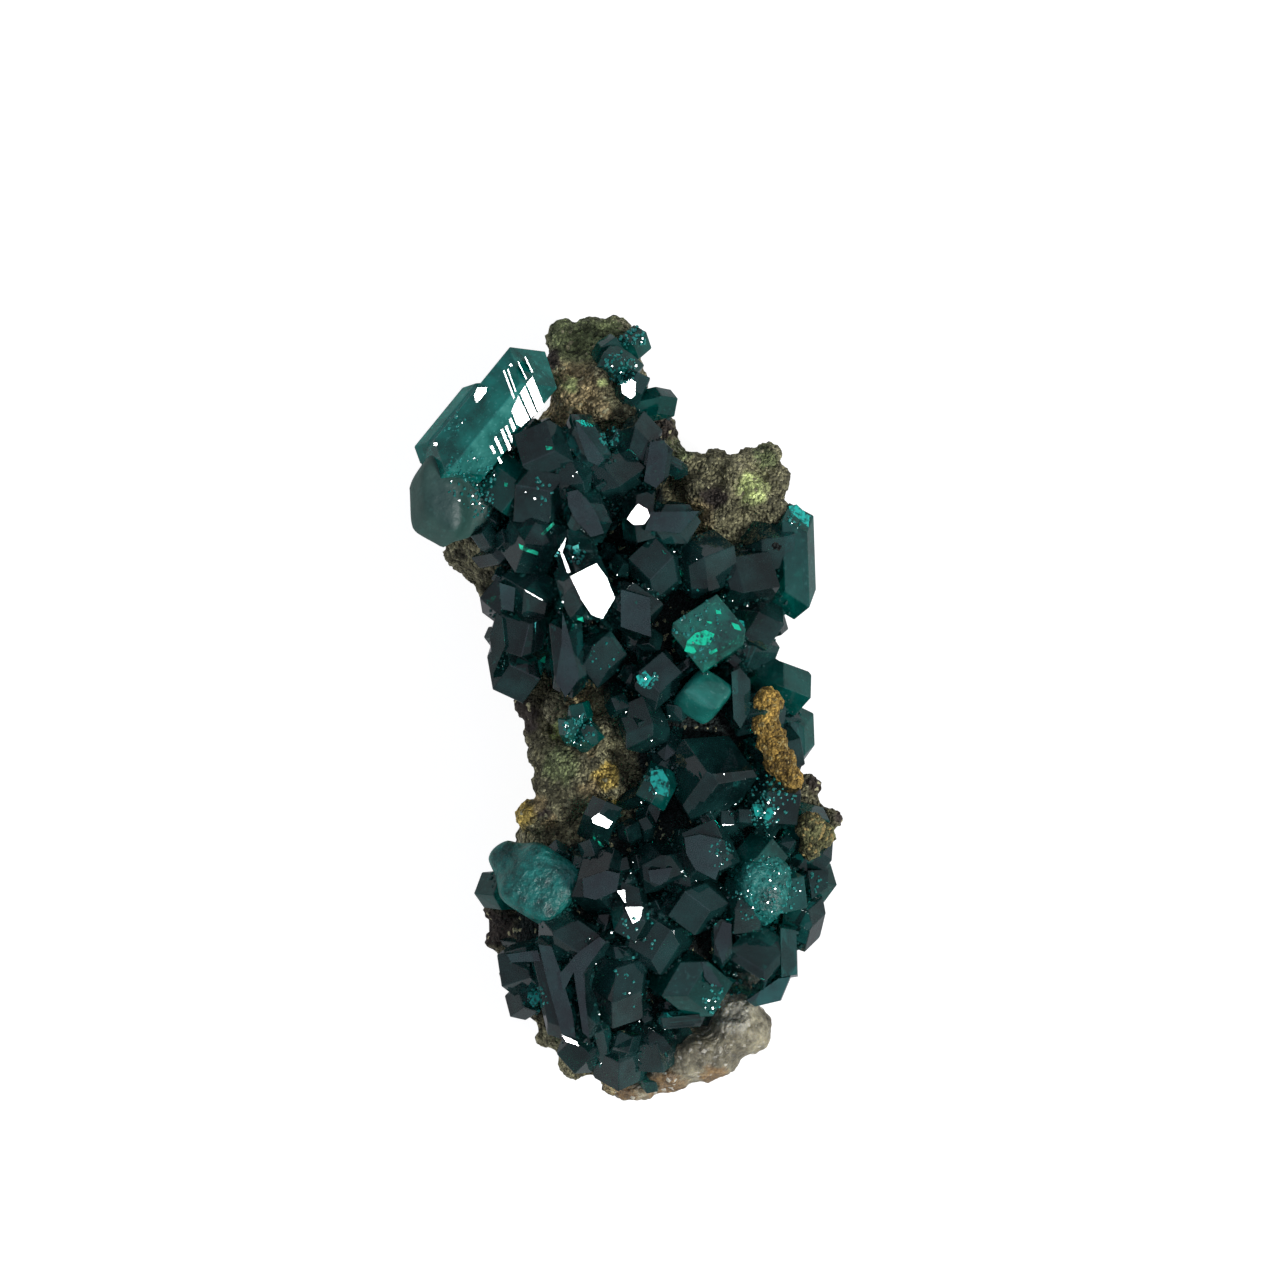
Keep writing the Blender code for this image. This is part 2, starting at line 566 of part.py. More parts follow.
def make_matrix(parts, cutters):
    """The rock: body and nodules under one skin, knobbly, cut flat underneath."""
    rock = object_from(lump_mesh(rock_lumps()), "matrix", parts)
    melt_together(rock, ROCK_VOXEL)
    roughen(rock, ROCK_RELIEF, ROCK_GRAIN)
    thin_out(rock, ROCK_TRIANGLES)
    cut_base(rock, cutters)
    keep_largest_piece(rock)
    rock.data.materials.append(new_material("limonite_rock", (0.085, 0.068, 0.035), 0.9))
    return rock


def fused_crystals(crystals, name, parts, cutters, swell=0.0):
    """Crystals that have grown into each other, joined in one solid."""
    group = new_collection(name + "_crystals")
    for number, crystal in enumerate(crystals[1:]):
        object_from(crystal_mesh(crystal, swell), f"{name}_crystal_{number:03d}", group, cutter=True)
    cluster = object_from(crystal_mesh(crystals[0], swell), name, parts, cutter=parts is cutters)
    boolean(cluster, "UNION", group)
    return cluster


def crust_outline(cutters):
    """The crust's edge as an upright block, drawn in by the bed's inset."""
    curve = bpy.data.curves.new("crust_outline", "CURVE")
    curve.dimensions = "2D"
    curve.fill_mode = "BOTH"
    curve.extrude = (BED_HIGHEST - BED_LOWEST) / 2 * MM
    curve.offset = -BED_INSET * MM
    spline = curve.splines.new("POLY")
    spline.points.add(len(CRUST_EDGE) - 1)
    spline.use_cyclic_u = True
    for point, (x, y) in zip(spline.points, CRUST_EDGE):
        point.co = (x * MM, y * MM, 0, 1)
    drawn = bpy.data.objects.new("crust_outline", curve)
    cutters.objects.link(drawn)
    drawn.location.z = (BED_HIGHEST + BED_LOWEST) / 2 * MM
    graph = bpy.context.evaluated_depsgraph_get()
    graph.update()
    bm = bmesh.new()
    bm.from_mesh(bpy.data.meshes.new_from_object(drawn.evaluated_get(graph)))
    bmesh.ops.remove_doubles(bm, verts=bm.verts, dist=0.001 * MM)
    block = object_from(bm, "crust_block", cutters, cutter=True)
    block.location = drawn.location
    bpy.data.objects.remove(drawn)
    return block


def skin_over(lumps, swell, name, cutters):
    """A plain closed skin over lumps, swollen by some room."""
    skin = object_from(lump_mesh(lumps, swell), name, cutters, cutter=True)
    melt_together(skin, ROCK_VOXEL)
    thin_out(skin, ROOM_TRIANGLES)
    return skin


def make_crust(parts, cutters, material):
    """The crystal crust on its bed, cut free of the rock and of the calcite underneath it."""
    crystals = listed_crystals() + fill_crystals() + flank_crystals()
    crust = fused_crystals(crystals, "dioptase_crust", parts, cutters)
    bed = skin_over(BODY_LUMPS, BED_THICKNESS, "bed", cutters)
    boolean(bed, "INTERSECT", crust_outline(cutters))
    boolean(crust, "UNION", bed)
    boolean(crust, "DIFFERENCE", skin_over(rock_lumps(), GROWTH_GAP, "rock_room", cutters))
    boolean(crust, "DIFFERENCE", skin_over(CALCITE_LUMPS, GROWTH_GAP, "calcite_room", cutters))
    keep_largest_piece(crust)
    give_material(crust, material)
    return crust


def give_material(thing, material):
    """The object's one material."""
    thing.data.materials.clear()
    thing.data.materials.append(material)


def make_waist_druse(parts, cutters, material):
    """A tuft of small crystals on the bare rock at the waist."""
    druse = fused_crystals(WAIST_DRUSE, "dioptase_waist_druse", parts, cutters)
    boolean(druse, "DIFFERENCE", bpy.data.objects["rock_room"])
    keep_largest_piece(druse)
    give_material(druse, material)


def make_calcite(parts, cutters):
    """The pale granular mass at the lower right end, cut free of the rock."""
    calcite = object_from(lump_mesh(CALCITE_LUMPS), "calcite", parts)
    melt_together(calcite, CALCITE_VOXEL)
    roughen(calcite, CALCITE_RELIEF, CALCITE_GRAIN)
    thin_out(calcite, CALCITE_TRIANGLES)
    boolean(calcite, "DIFFERENCE", bpy.data.objects["rock_room"])
    cut_base(calcite, cutters)
    keep_largest_piece(calcite)
    give_material(calcite, new_material("calcite_grey", (0.50, 0.47, 0.40), 0.55))


def make_ochre(name, spots, parts, cutters, material):
    """An earthy coating, flat lumps under one skin, that follows the crystals it lies on."""
    lumps = [Lump(x, y, z, r, r, thick) for x, y, z, r, thick in spots]
    coat = object_from(lump_mesh(lumps), name, parts)
    melt_together(coat, OCHRE_VOXEL)
    roughen(coat, OCHRE_RELIEF, OCHRE_GRAIN)
    thin_out(coat, OCHRE_TRIANGLES)
    near = [
        crystal for crystal in listed_crystals() + fill_crystals() + flank_crystals()
        if any(math.hypot(crystal.x - lump.x, crystal.y - lump.y) < OCHRE_NEAR for lump in lumps)
    ]
    boolean(coat, "DIFFERENCE", fused_crystals(near, name + "_room", cutters, cutters, GROWTH_GAP))
    keep_largest_piece(coat)
    give_material(coat, material)


def main():
    """Build the specimen, the rock first, because the others are cut free of it."""
    clear_scene()
    parts = new_collection("dioptase_specimen")
    cutters = new_collection("cutters")
    gem = new_material("dioptase_green", (0.0, 0.16, 0.11), 0.05, transmission=1.0)
    ochre = new_material("ochre_earth", (0.34, 0.16, 0.035), 0.95)
    make_matrix(parts, cutters)
    make_crust(parts, cutters, gem)
    make_waist_druse(parts, cutters, gem)
    make_calcite(parts, cutters)
    make_ochre("ochre_patch_upper", OCHRE_UPPER, parts, cutters, ochre)
    make_ochre("ochre_patch_lower", OCHRE_LOWER, parts, cutters, ochre)


main()
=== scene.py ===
# %% [markdown]
# # A dioptase specimen in Blender
# Dioptase is a green copper silicate. On this specimen its six-sided crystals crowd over a lump of brown,
# earthy rock, with a pale mass of calcite at one end. The specimen lies on its back, and the camera looks
# straight down. The solid model has already been packed to real size, so this lesson only dresses it: finer
# crystals, worn edges, grainy rock, and the clear and cloudy materials that make a gem look like a gem.

# %% Load the frame
import math
import random
from collections import namedtuple

import bpy
from mathutils import Matrix, Vector, noise
from mathutils.bvhtree import BVHTree


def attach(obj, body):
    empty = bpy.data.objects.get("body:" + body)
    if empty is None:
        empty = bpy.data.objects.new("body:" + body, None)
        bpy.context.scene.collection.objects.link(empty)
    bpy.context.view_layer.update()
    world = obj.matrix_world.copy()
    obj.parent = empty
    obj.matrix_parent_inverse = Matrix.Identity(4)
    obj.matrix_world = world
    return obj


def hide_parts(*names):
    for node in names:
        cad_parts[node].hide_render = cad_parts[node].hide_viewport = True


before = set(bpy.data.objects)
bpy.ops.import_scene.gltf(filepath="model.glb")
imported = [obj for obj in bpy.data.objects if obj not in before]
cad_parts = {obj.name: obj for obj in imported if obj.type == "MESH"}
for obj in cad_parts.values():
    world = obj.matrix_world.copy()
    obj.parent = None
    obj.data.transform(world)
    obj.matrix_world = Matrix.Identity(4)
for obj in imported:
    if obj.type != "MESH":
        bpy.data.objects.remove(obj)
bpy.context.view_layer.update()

MM = 0.001

# %% [markdown]
# ## The view
# A mineral photograph is taken with a long lens, so that near and far crystals keep the same scale. The
# camera looks straight down on the specimen. At 400 mm from the crystals a 225 mm lens sees 64 mm from side
# to side, so one pixel of the 1280 pixel picture is 0.05 mm, and places can be measured on the picture with
# a plain rule of three.

# %% Camera
scene = bpy.context.scene
PICTURE_SIDE = 1280
PIXEL = 0.05
PICTURE_CENTRE = (0.425, 3.65)
CRYSTAL_HEIGHT = 8.0
CAMERA_DISTANCE = 400.0
NEAREST_SEEN = 10.0
SENSOR_WIDTH = 36.0


def from_picture(px, py):
    """Millimetres in the specimen's frame for a pixel of the picture."""
    half = PICTURE_SIDE / 2
    return PICTURE_CENTRE[0] + (px - half) * PIXEL, PICTURE_CENTRE[1] - (py - half) * PIXEL


camera_data = bpy.data.cameras.new("camera")
camera_data.sensor_width = SENSOR_WIDTH
camera_data.lens = SENSOR_WIDTH * CAMERA_DISTANCE / (PICTURE_SIDE * PIXEL)
camera_data.clip_start = NEAREST_SEEN * MM
camera = bpy.data.objects.new("camera", camera_data)
scene.collection.objects.link(camera)
camera.location = Vector((*PICTURE_CENTRE, CRYSTAL_HEIGHT + CAMERA_DISTANCE)) * MM
scene.camera = camera
scene.view_settings.view_transform = "Standard"
print("lens", camera_data.lens, "mm")

# %% [markdown]
# ## The light
# Clear stones show what is around them. Here that is a dim grey tent. It is dimmest where the slopes of the
# crystals look, so they stay nearly black, and a little brighter straight overhead, so a face that points
# at the camera mirrors a calm grey. One bright soft box stands high up to the lower right. A face mirrors
# it only if its normal lies halfway between the camera and the box, and such a face turns pure white. That
# normal is called GLINT. The box's place is worked out from it, because some crystals are turned to it on
# purpose.

# %% Tent and soft box
GLINT = Vector((0.352, -0.203, 0.914)).normalized()
TENT_STRENGTH = 1.0
TENT_STEPS = (
    # height, from 0 straight below over 0.5 at the horizon to 1 straight above, and colour
    (0.0, (0.32, 0.32, 0.34)), (0.5, (0.36, 0.36, 0.38)), (0.6, (0.30, 0.31, 0.33)),
    (0.72, (0.23, 0.24, 0.27)), (0.90, (0.25, 0.26, 0.30)), (0.96, (0.40, 0.42, 0.52)),
    (1.0, (0.44, 0.46, 0.57)),
)
BOX_DISTANCE = 400.0
BOX_SIDE = 84.0
BOX_RADIANCE = 45.0


def add_node(tree, kind, **values):
    """A new shader node. Capitalised names set its inputs, the other names its settings."""
    node = tree.nodes.new("ShaderNode" + kind)
    for name, value in values.items():
        if name[0].isupper():
            node.inputs[name.replace("_", " ")].default_value = value
        else:
            setattr(node, name, value)
    return node


world = bpy.data.worlds.new("tent")
world.use_nodes = True
scene.world = world
tent = world.node_tree
tent_place = add_node(tent, "TexCoord")
tent_height = add_node(tent, "SeparateXYZ")
tent_range = add_node(tent, "MapRange", From_Min=-1.0)
tent_ramp = add_node(tent, "ValToRGB")
tent_ramp.color_ramp.elements.remove(tent_ramp.color_ramp.elements[0])
tent_ramp.color_ramp.elements[0].position = TENT_STEPS[0][0]
tent_ramp.color_ramp.elements[0].color = (*TENT_STEPS[0][1], 1)
for position, colour in TENT_STEPS[1:]:
    tent_ramp.color_ramp.elements.new(position).color = (*colour, 1)
tent.links.new(tent_place.outputs["Generated"], tent_height.inputs["Vector"])
tent.links.new(tent_height.outputs["Z"], tent_range.inputs["Value"])
tent.links.new(tent_range.outputs["Result"], tent_ramp.inputs["Fac"])
tent.links.new(tent_ramp.outputs["Color"], tent.nodes["Background"].inputs["Color"])
tent.nodes["Background"].inputs["Strength"].default_value = TENT_STRENGTH

toward_camera = Vector((0, 0, 1))
toward_box = (2 * toward_camera.dot(GLINT) * GLINT - toward_camera).normalized()
box_light = bpy.data.lights.new("soft_box", "AREA")
box_light.shape = "SQUARE"
box_light.size = BOX_SIDE * MM
box_light.energy = math.pi * BOX_RADIANCE * box_light.size ** 2
soft_box = bpy.data.objects.new("soft_box", box_light)
scene.collection.objects.link(soft_box)
soft_box.location = toward_box * BOX_DISTANCE * MM
soft_box.rotation_euler = toward_box.to_track_quat("Z", "Y").to_euler()
print("soft box stands toward", [round(v, 2) for v in toward_box])

# %% [markdown]
# ## The floor
# The background is a plain pale sheet, lit from behind, so that it stays white right up to the specimen and
# shows no shadow. Dark stones would mirror so much white on every slope and look like milk glass, so the
# sheet is kept out of mirrored and refracted rays.

# %% Pale sheet
FLOOR_SIDE = 3.0
FLOOR_COLOUR = (0.4, 0.4, 0.4)
FLOOR_ROUGHNESS = 0.9
FLOOR_GLOW = 0.9


def deselect():
    """Nothing selected, object mode."""
    if bpy.context.object and bpy.context.object.mode != "OBJECT":
        bpy.ops.object.mode_set(mode="OBJECT")
    bpy.ops.object.select_all(action="DESELECT")


def plain_material(name, colour, roughness):
    """A Principled material with one colour, as a start for the others."""
    material = bpy.data.materials.new(name)
    material.use_nodes = True
    shader = material.node_tree.nodes["Principled BSDF"]
    shader.inputs["Base Color"].default_value = (*colour, 1)
    shader.inputs["Roughness"].default_value = roughness
    return material


deselect()
bpy.ops.mesh.primitive_plane_add(size=FLOOR_SIDE)
sheet = bpy.context.object
sheet.name = "pale_sheet"
FLOOR_SHEET = plain_material("pale_sheet", FLOOR_COLOUR, FLOOR_ROUGHNESS)
floor_shader = FLOOR_SHEET.node_tree.nodes["Principled BSDF"]
floor_shader.inputs["Emission Color"].default_value = (1, 1, 1, 1)
floor_shader.inputs["Emission Strength"].default_value = FLOOR_GLOW
sheet.data.materials.append(FLOOR_SHEET)
sheet.visible_glossy = False
sheet.visible_transmission = False

# %% [markdown]
# ## Tools of the trade
# Every piece below is modelled in the same few moves: pick it, change it with an operator or an applied
# modifier, and put its place into its mesh, so that the object itself sits unturned at the origin.

# %% Helpers for modelling


def pick(thing):
    """Select one object and make it the active one."""
    deselect()
    thing.select_set(True)
    bpy.context.view_layer.objects.active = thing


def settle(thing):
    """Put an object's place, turn and size into its mesh."""
    pick(thing)
    bpy.ops.object.transform_apply(location=True, rotation=True, scale=True)


def apply_new(thing, kind, **settings):
    """Add a modifier with these settings and apply it."""
    modifier = thing.modifiers.new(kind.lower(), kind)
    for setting, value in settings.items():
        setattr(modifier, setting, value)
    pick(thing)
    bpy.ops.object.modifier_apply(modifier=modifier.name)


def join(things, name):
    """Put several objects into one mesh, as they are."""
    pick(things[0])
    for thing in things[1:]:
        thing.select_set(True)
    if len(things) > 1:
        bpy.ops.object.join()
    joined = bpy.context.object
    joined.name = name
    joined.data.name = name
    return joined


def fuse(things, name):
    """Join closed shapes that overlap into one closed skin."""
    first = things[0]
    if len(things) > 1:
        group = bpy.data.collections.new(name + "_group")
        for thing in things[1:]:
            group.objects.link(thing)
        apply_new(
            first, "BOOLEAN",
            operation="UNION", operand_type="COLLECTION", collection=group, solver="MANIFOLD",
        )
        for thing in things[1:]:
            bpy.data.objects.remove(thing)
        bpy.data.collections.remove(group)
    first.name = name
    first.data.name = name
    return first


def dress(thing, material):
    """Give a piece its material and its place on the specimen's one body."""
    thing.data.materials.clear()
    thing.data.materials.append(material)
    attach(thing, "root")
    print(f"{thing.name}: {len(thing.data.polygons)} faces")


# %% [markdown]
# ## One crystal
# A dioptase crystal is a six-sided prism. Each end is closed by three faces that stand over every second
# edge of the prism and look 51 degrees off its axis. Here a six-sided cylinder is added, and edit mode's
# bisect cuts the three faces at each end. A small bevel breaks the edges, because real edges are never
# razor sharp, and a broken edge catches light.

# %% The crystal
Crystal = namedtuple("Crystal", "x y z heading rise radius length spin")
PRISM_SIDES = 6
SIDE_TURN = 360 / PRISM_SIDES
END_TURN = 2 * SIDE_TURN
UPPER_EDGE = 30
LOWER_EDGE = 90
RHOMB_ANGLE = math.radians(51.0)
END_SETBACK = (0.02, 0.22)
EDGE_WEAR = 0.035
SMALLEST_EDGE = 0.06


def axis_frame(crystal):
    """Turn that takes local Z to the crystal's axis and local X to its upward side, spin included."""
    heading = math.radians(crystal.heading)
    rise = math.radians(crystal.rise)
    axis = Vector((math.cos(rise) * math.cos(heading), math.cos(rise) * math.sin(heading), math.sin(rise)))
    side = (Vector((0, 0, 1)) - axis * axis.z).normalized()
    basis = Matrix((side, axis.cross(side), axis)).transposed().to_4x4()
    return basis @ Matrix.Rotation(math.radians(crystal.spin), 4, "Z")


def cut_faces(crystal):
    """Point in millimetres and normal of the three faces at each end. The place seeds their setback."""
    wear = random.Random(round(crystal.x * 100) + round(crystal.y * 7))
    for end, first_edge in ((1, UPPER_EDGE), (-1, LOWER_EDGE)):
        for third in range(3):
            turn = math.radians(first_edge + END_TURN * third)
            out = math.sin(RHOMB_ANGLE)
            normal = Vector((out * math.cos(turn), out * math.sin(turn), end * math.cos(RHOMB_ANGLE)))
            setback = wear.uniform(*END_SETBACK) * crystal.radius
            yield Vector((0, 0, end * (crystal.length / 2 - setback))), normal


def grow(crystal, name="crystal"):
    """Model one crystal, from a cylinder to worn edges."""
    deselect()
    bpy.ops.mesh.primitive_cylinder_add(
        vertices=PRISM_SIDES, radius=crystal.radius * MM, depth=crystal.length * MM
    )
    thing = bpy.context.object
    thing.name = name
    bpy.ops.object.mode_set(mode="EDIT")
    for point, normal in cut_faces(crystal):
        bpy.ops.mesh.select_all(action="SELECT")
        bpy.ops.mesh.bisect(plane_co=point * MM, plane_no=normal, use_fill=True, clear_outer=True)
    bpy.ops.mesh.select_all(action="SELECT")
    bpy.ops.mesh.remove_doubles(threshold=SMALLEST_EDGE * MM)
    bpy.ops.mesh.bevel(offset=EDGE_WEAR * MM, segments=1, affect="EDGES", clamp_overlap=True)
    bpy.ops.object.mode_set(mode="OBJECT")
    place = Matrix.Translation(Vector((crystal.x, crystal.y, crystal.z)) * MM)
    thing.matrix_world = place @ axis_frame(crystal)
    settle(thing)
    return thing


# %% [markdown]
# ## Clear and cloudy green
# A gem's colour is mostly in its depth, not on its skin: light loses its red and then its blue on the way
# through. So a Volume Absorption node holds the green. Its density is per metre, so a crystal a few
# millimetres thick needs a large number. The skin is part glass, with dioptase's refractive index of 1.66,
# and part matt, where tiny fluid bubbles scatter the light back before it has gone deep. The share of glass
# is large in the clear crystals and small in the cloudy ones. A node group tints the skin with the veils
# and flecks that all of them have.

# %% Gem materials
DIOPTASE_IOR = 1.66
GEM_ROUGHNESS = 0.03
FLECKS_PER_VEIL = 9.0


def add_absorption(material, colour, density):
    """Let a material's inside absorb light."""
    tree = material.node_tree
    inside = add_node(tree, "VolumeAbsorption", Color=(*colour, 1), Density=density)
    tree.links.new(inside.outputs["Volume"], tree.nodes["Material Output"].inputs["Volume"])


def new_group(name, inputs, outputs):
    """A node group with its inputs and their first values, its outputs, and the nodes that stand for both."""
    group = bpy.data.node_groups.new(name, "ShaderNodeTree")
    for socket, value in inputs.items():
        kind = "NodeSocketColor" if isinstance(value, tuple) else "NodeSocketFloat"
        group.interface.new_socket(socket, in_out="INPUT", socket_type=kind).default_value = value
    for socket, kind in outputs.items():
        group.interface.new_socket(socket, in_out="OUTPUT", socket_type=kind)
    return group, group.nodes.new("NodeGroupInput"), group.nodes.new("NodeGroupOutput")


def veil_group():
    """Node group: cloudy veils and bright flecks, as bubbles and healed cracks make them in a crystal."""
    colours = {"Deep": (0, 0.05, 0.045, 1), "Cloudy": (0, 0.2, 0.15, 1), "Fleck": (0.1, 0.5, 0.42, 1)}
    numbers = {"Scale": 500.0, "Fleck Amount": 0.3, "Smooth": 0.08, "Rough": 0.3}
    outputs = {"Color": "NodeSocketColor", "Roughness": "NodeSocketFloat"}
    group, given, result = new_group("Veils", colours | numbers, outputs)
    links = group.links
    place = add_node(group, "TexCoord")
    clouds = add_node(group, "TexNoise", Detail=6, Roughness=0.65)
    fine = add_node(group, "TexNoise", Detail=3)
    fine_scale = add_node(group, "Math", operation="MULTIPLY")
    fine_scale.inputs[1].default_value = FLECKS_PER_VEIL
    contrast = add_node(group, "MapRange", From_Min=0.38, From_Max=0.66)
    threshold = add_node(group, "MapRange", From_Min=0.60, From_Max=0.68)
    share = add_node(group, "Math", operation="MULTIPLY")
    body = add_node(group, "Mix", data_type="RGBA")
    flecked = add_node(group, "Mix", data_type="RGBA")
    rough = add_node(group, "Mix")
    links.new(given.outputs["Scale"], clouds.inputs["Scale"])
    links.new(given.outputs["Scale"], fine_scale.inputs[0])
    links.new(fine_scale.outputs[0], fine.inputs["Scale"])
    links.new(place.outputs["Object"], clouds.inputs["Vector"])
    links.new(place.outputs["Object"], fine.inputs["Vector"])
    links.new(clouds.outputs["Fac"], contrast.inputs["Value"])
    links.new(fine.outputs["Fac"], threshold.inputs["Value"])
    links.new(threshold.outputs[0], share.inputs[0])
    links.new(given.outputs["Fleck Amount"], share.inputs[1])
    links.new(contrast.outputs[0], body.inputs["Factor"])
    links.new(given.outputs["Deep"], body.inputs["A"])
    links.new(given.outputs["Cloudy"], body.inputs["B"])
    links.new(share.outputs[0], flecked.inputs["Factor"])
    links.new(body.outputs["Result"], flecked.inputs["A"])
    links.new(given.outputs["Fleck"], flecked.inputs["B"])
    links.new(contrast.outputs[0], rough.inputs["Factor"])
    links.new(given.outputs["Smooth"], rough.inputs["A"])
    links.new(given.outputs["Rough"], rough.inputs["B"])
    links.new(flecked.outputs["Result"], result.inputs["Color"])
    links.new(rough.outputs["Result"], result.inputs["Roughness"])
    return group


VEILS = veil_group()


def gem_material(name, transmission, absorbed, density, **veils):
    """A dioptase: glass and matt in some share, veils on its skin, absorption inside."""
    material = plain_material(name, (1, 1, 1), GEM_ROUGHNESS)
    tree = material.node_tree
    shader = tree.nodes["Principled BSDF"]
    shader.inputs["IOR"].default_value = DIOPTASE_IOR
    shader.inputs["Transmission Weight"].default_value = transmission
    veil = add_node(tree, "Group", node_tree=VEILS, **veils)
    tree.links.new(veil.outputs["Color"], shader.inputs["Base Color"])
    tree.links.new(veil.outputs["Roughness"], shader.inputs["Roughness"])
    add_absorption(material, absorbed, density)
    return material


def add_frost(material, scale, relief):
    """Make a gem's skin finely uneven."""
    tree = material.node_tree
    place = add_node(tree, "TexCoord")
    uneven = add_node(tree, "TexNoise", Scale=scale, Detail=4.0)
    bump = add_node(tree, "Bump", Distance=relief * MM)
    tree.links.new(place.outputs["Object"], uneven.inputs["Vector"])
    tree.links.new(uneven.outputs["Fac"], bump.inputs["Height"])
    tree.links.new(bump.outputs["Normal"], tree.nodes["Principled BSDF"].inputs["Normal"])


DARK_GEM = gem_material(
    "dioptase_deep", transmission=0.9, absorbed=(0.0, 0.72, 0.67), density=1100.0,
    Deep=(0.02, 0.10, 0.10, 1), Cloudy=(0.11, 0.50, 0.48, 1), Fleck=(0.2, 0.6, 0.6, 1),
    Fleck_Amount=0.2, Scale=260.0, Smooth=0.015, Rough=0.06,
)
TEAL_GEM = gem_material(
    "dioptase_teal", transmission=0.72, absorbed=(0.0, 0.70, 0.62), density=1100.0,
    Deep=(0.0, 0.12, 0.10, 1), Cloudy=(0.0, 0.30, 0.25, 1), Fleck=(0.12, 0.6, 0.52, 1),
    Fleck_Amount=0.35, Scale=420.0, Smooth=0.02, Rough=0.16,
)
GREAT_GEM = gem_material(
    "dioptase_great", transmission=0.45, absorbed=(0.0, 0.72, 0.64), density=900.0,
    Deep=(0.002, 0.15, 0.125, 1), Cloudy=(0.01, 0.46, 0.38, 1), Fleck=(0.15, 0.75, 0.66, 1),
    Fleck_Amount=0.35, Scale=520.0, Smooth=0.04, Rough=0.16,
)
BROAD_GEM = gem_material(
    "dioptase_broad", transmission=0.25, absorbed=(0.0, 0.66, 0.58), density=900.0,
    Deep=(0.02, 0.085, 0.07, 1), Cloudy=(0.05, 0.15, 0.12, 1), Fleck=(0.1, 0.4, 0.34, 1),
    Fleck_Amount=0.12, Scale=300.0, Smooth=0.5, Rough=0.62,
)
add_frost(BROAD_GEM, scale=1500.0, relief=0.12)
FROSTED_GEM = gem_material(
    "dioptase_frosted", transmission=0.35, absorbed=(0.0, 0.66, 0.58), density=900.0,
    Deep=(0.0, 0.085, 0.075, 1), Cloudy=(0.0, 0.38, 0.32, 1), Fleck=(0.12, 0.6, 0.5, 1),
    Fleck_Amount=0.4, Scale=1100.0, Smooth=0.35, Rough=0.5,
)
add_frost(FROSTED_GEM, scale=2400.0, relief=0.3)
MILKY_GEM = gem_material(
    "dioptase_milky", transmission=0.3, absorbed=(0.0, 0.66, 0.58), density=900.0,
    Deep=(0.01, 0.18, 0.145, 1), Cloudy=(0.04, 0.44, 0.36, 1), Fleck=(0.2, 0.55, 0.5, 1),
    Fleck_Amount=0.3, Scale=380.0, Smooth=0.14, Rough=0.34,
)
EMERALD_GEM = gem_material(
    "dioptase_emerald", transmission=0.6, absorbed=(0.0, 0.74, 0.6), density=1000.0,
    Deep=(0.0, 0.06, 0.05, 1), Cloudy=(0.0, 0.50, 0.36, 1), Fleck=(0.05, 0.85, 0.55, 1),
    Fleck_Amount=0.5, Scale=620.0, Smooth=0.03, Rough=0.14,
)
SPARKLE_GEM = gem_material(
    "dioptase_sparkle", transmission=0.35, absorbed=(0.0, 0.74, 0.68), density=900.0,
    Deep=(0.01, 0.22, 0.19, 1), Cloudy=(0.06, 0.62, 0.55, 1), Fleck=(0.4, 0.85, 0.8, 1),
    Fleck_Amount=0.3, Scale=1500.0, Smooth=0.05, Rough=0.2,
)
CRUMB_GEM = gem_material(
    "dioptase_crumbs", transmission=0.75, absorbed=(0.0, 0.72, 0.66), density=900.0,
    Deep=(0.02, 0.16, 0.14, 1), Cloudy=(0.05, 0.40, 0.35, 1), Fleck=(0.3, 0.75, 0.7, 1),
    Fleck_Amount=0.3, Scale=800.0, Smooth=0.03, Rough=0.1,
)
print("gem materials:", len(bpy.data.materials) - 1)

# %% [markdown]
# ## Where the crystals stand
# Each row is one crystal: place in millimetres, direction of the axis seen from above, its rise from the
# table, radius, length and spin. Most rows are the solid model's. A few were shifted, resized or added, to
# come closer to the picture. They are grouped by how they look, because each look is one material.

# %% Crystal tables
GREAT_PRISM = Crystal(-7.1, 14.55, 8.7, 231, 7, 1.80, 9.7, 28)
SLIM_PRISM = Crystal(-8.8, 14.5, 8.4, 231, 7, 0.85, 5.6, 0)
BROAD_END = (
    Crystal(-8.5, 10.6, 7.6, 208, 22, 2.10, 6.2, -30),
    Crystal(-9.45, 10.75, 8.9, 92, 2, 1.75, 6.0, 0),
)
TEAL_CRYSTALS = (
    Crystal(-6.0, 11.3, 8.5, 250, 46, 1.60, 4.6, 10),
    Crystal(0.9, 15.4, 7.8, 12, 25, 0.85, 3.4, 10),
    Crystal(-0.6, 17.3, 8.1, 140, 45, 0.95, 3.2, 40),
    Crystal(-1.2, 18.0, 7.7, 60, 40, 0.75, 2.6, 0),
    Crystal(-0.1, 18.3, 7.0, 40, 30, 0.85, 2.8, 30),
    Crystal(8.0, 7.6, 6.6, 92, 6, 1.25, 6.3, 12),
    Crystal(7.3, 1.4, 7.0, 340, 30, 1.35, 4.4, 30),
    Crystal(8.1, -1.2, 6.2, 272, 8, 1.10, 3.8, 0),
    Crystal(1.3, -3.6, 9.7, 250, 55, 0.95, 3.4, 20),
    Crystal(6.2, -7.5, 8.8, 60, 28, 1.30, 3.8, 20),
    Crystal(7.3, -8.9, 8.1, 330, 28, 1.40, 4.0, 80),
    Crystal(-6.5, -8.9, 6.6, 185, 20, 1.05, 3.2, 20),
    Crystal(9.0, -8.4, 6.2, 350, 20, 1.15, 3.2, 30),
    Crystal(8.5, -5.7, 6.4, 12, 28, 1.35, 3.8, 0),
)
EMERALD_CRYSTAL = Crystal(3.8, 3.9, 9.2, 82, 28, 2.10, 5.2, -30)
DEEP_GREEN_CRYSTAL = Crystal(2.9, -13.5, 8.6, 2, 10, 1.70, 5.0, -12)
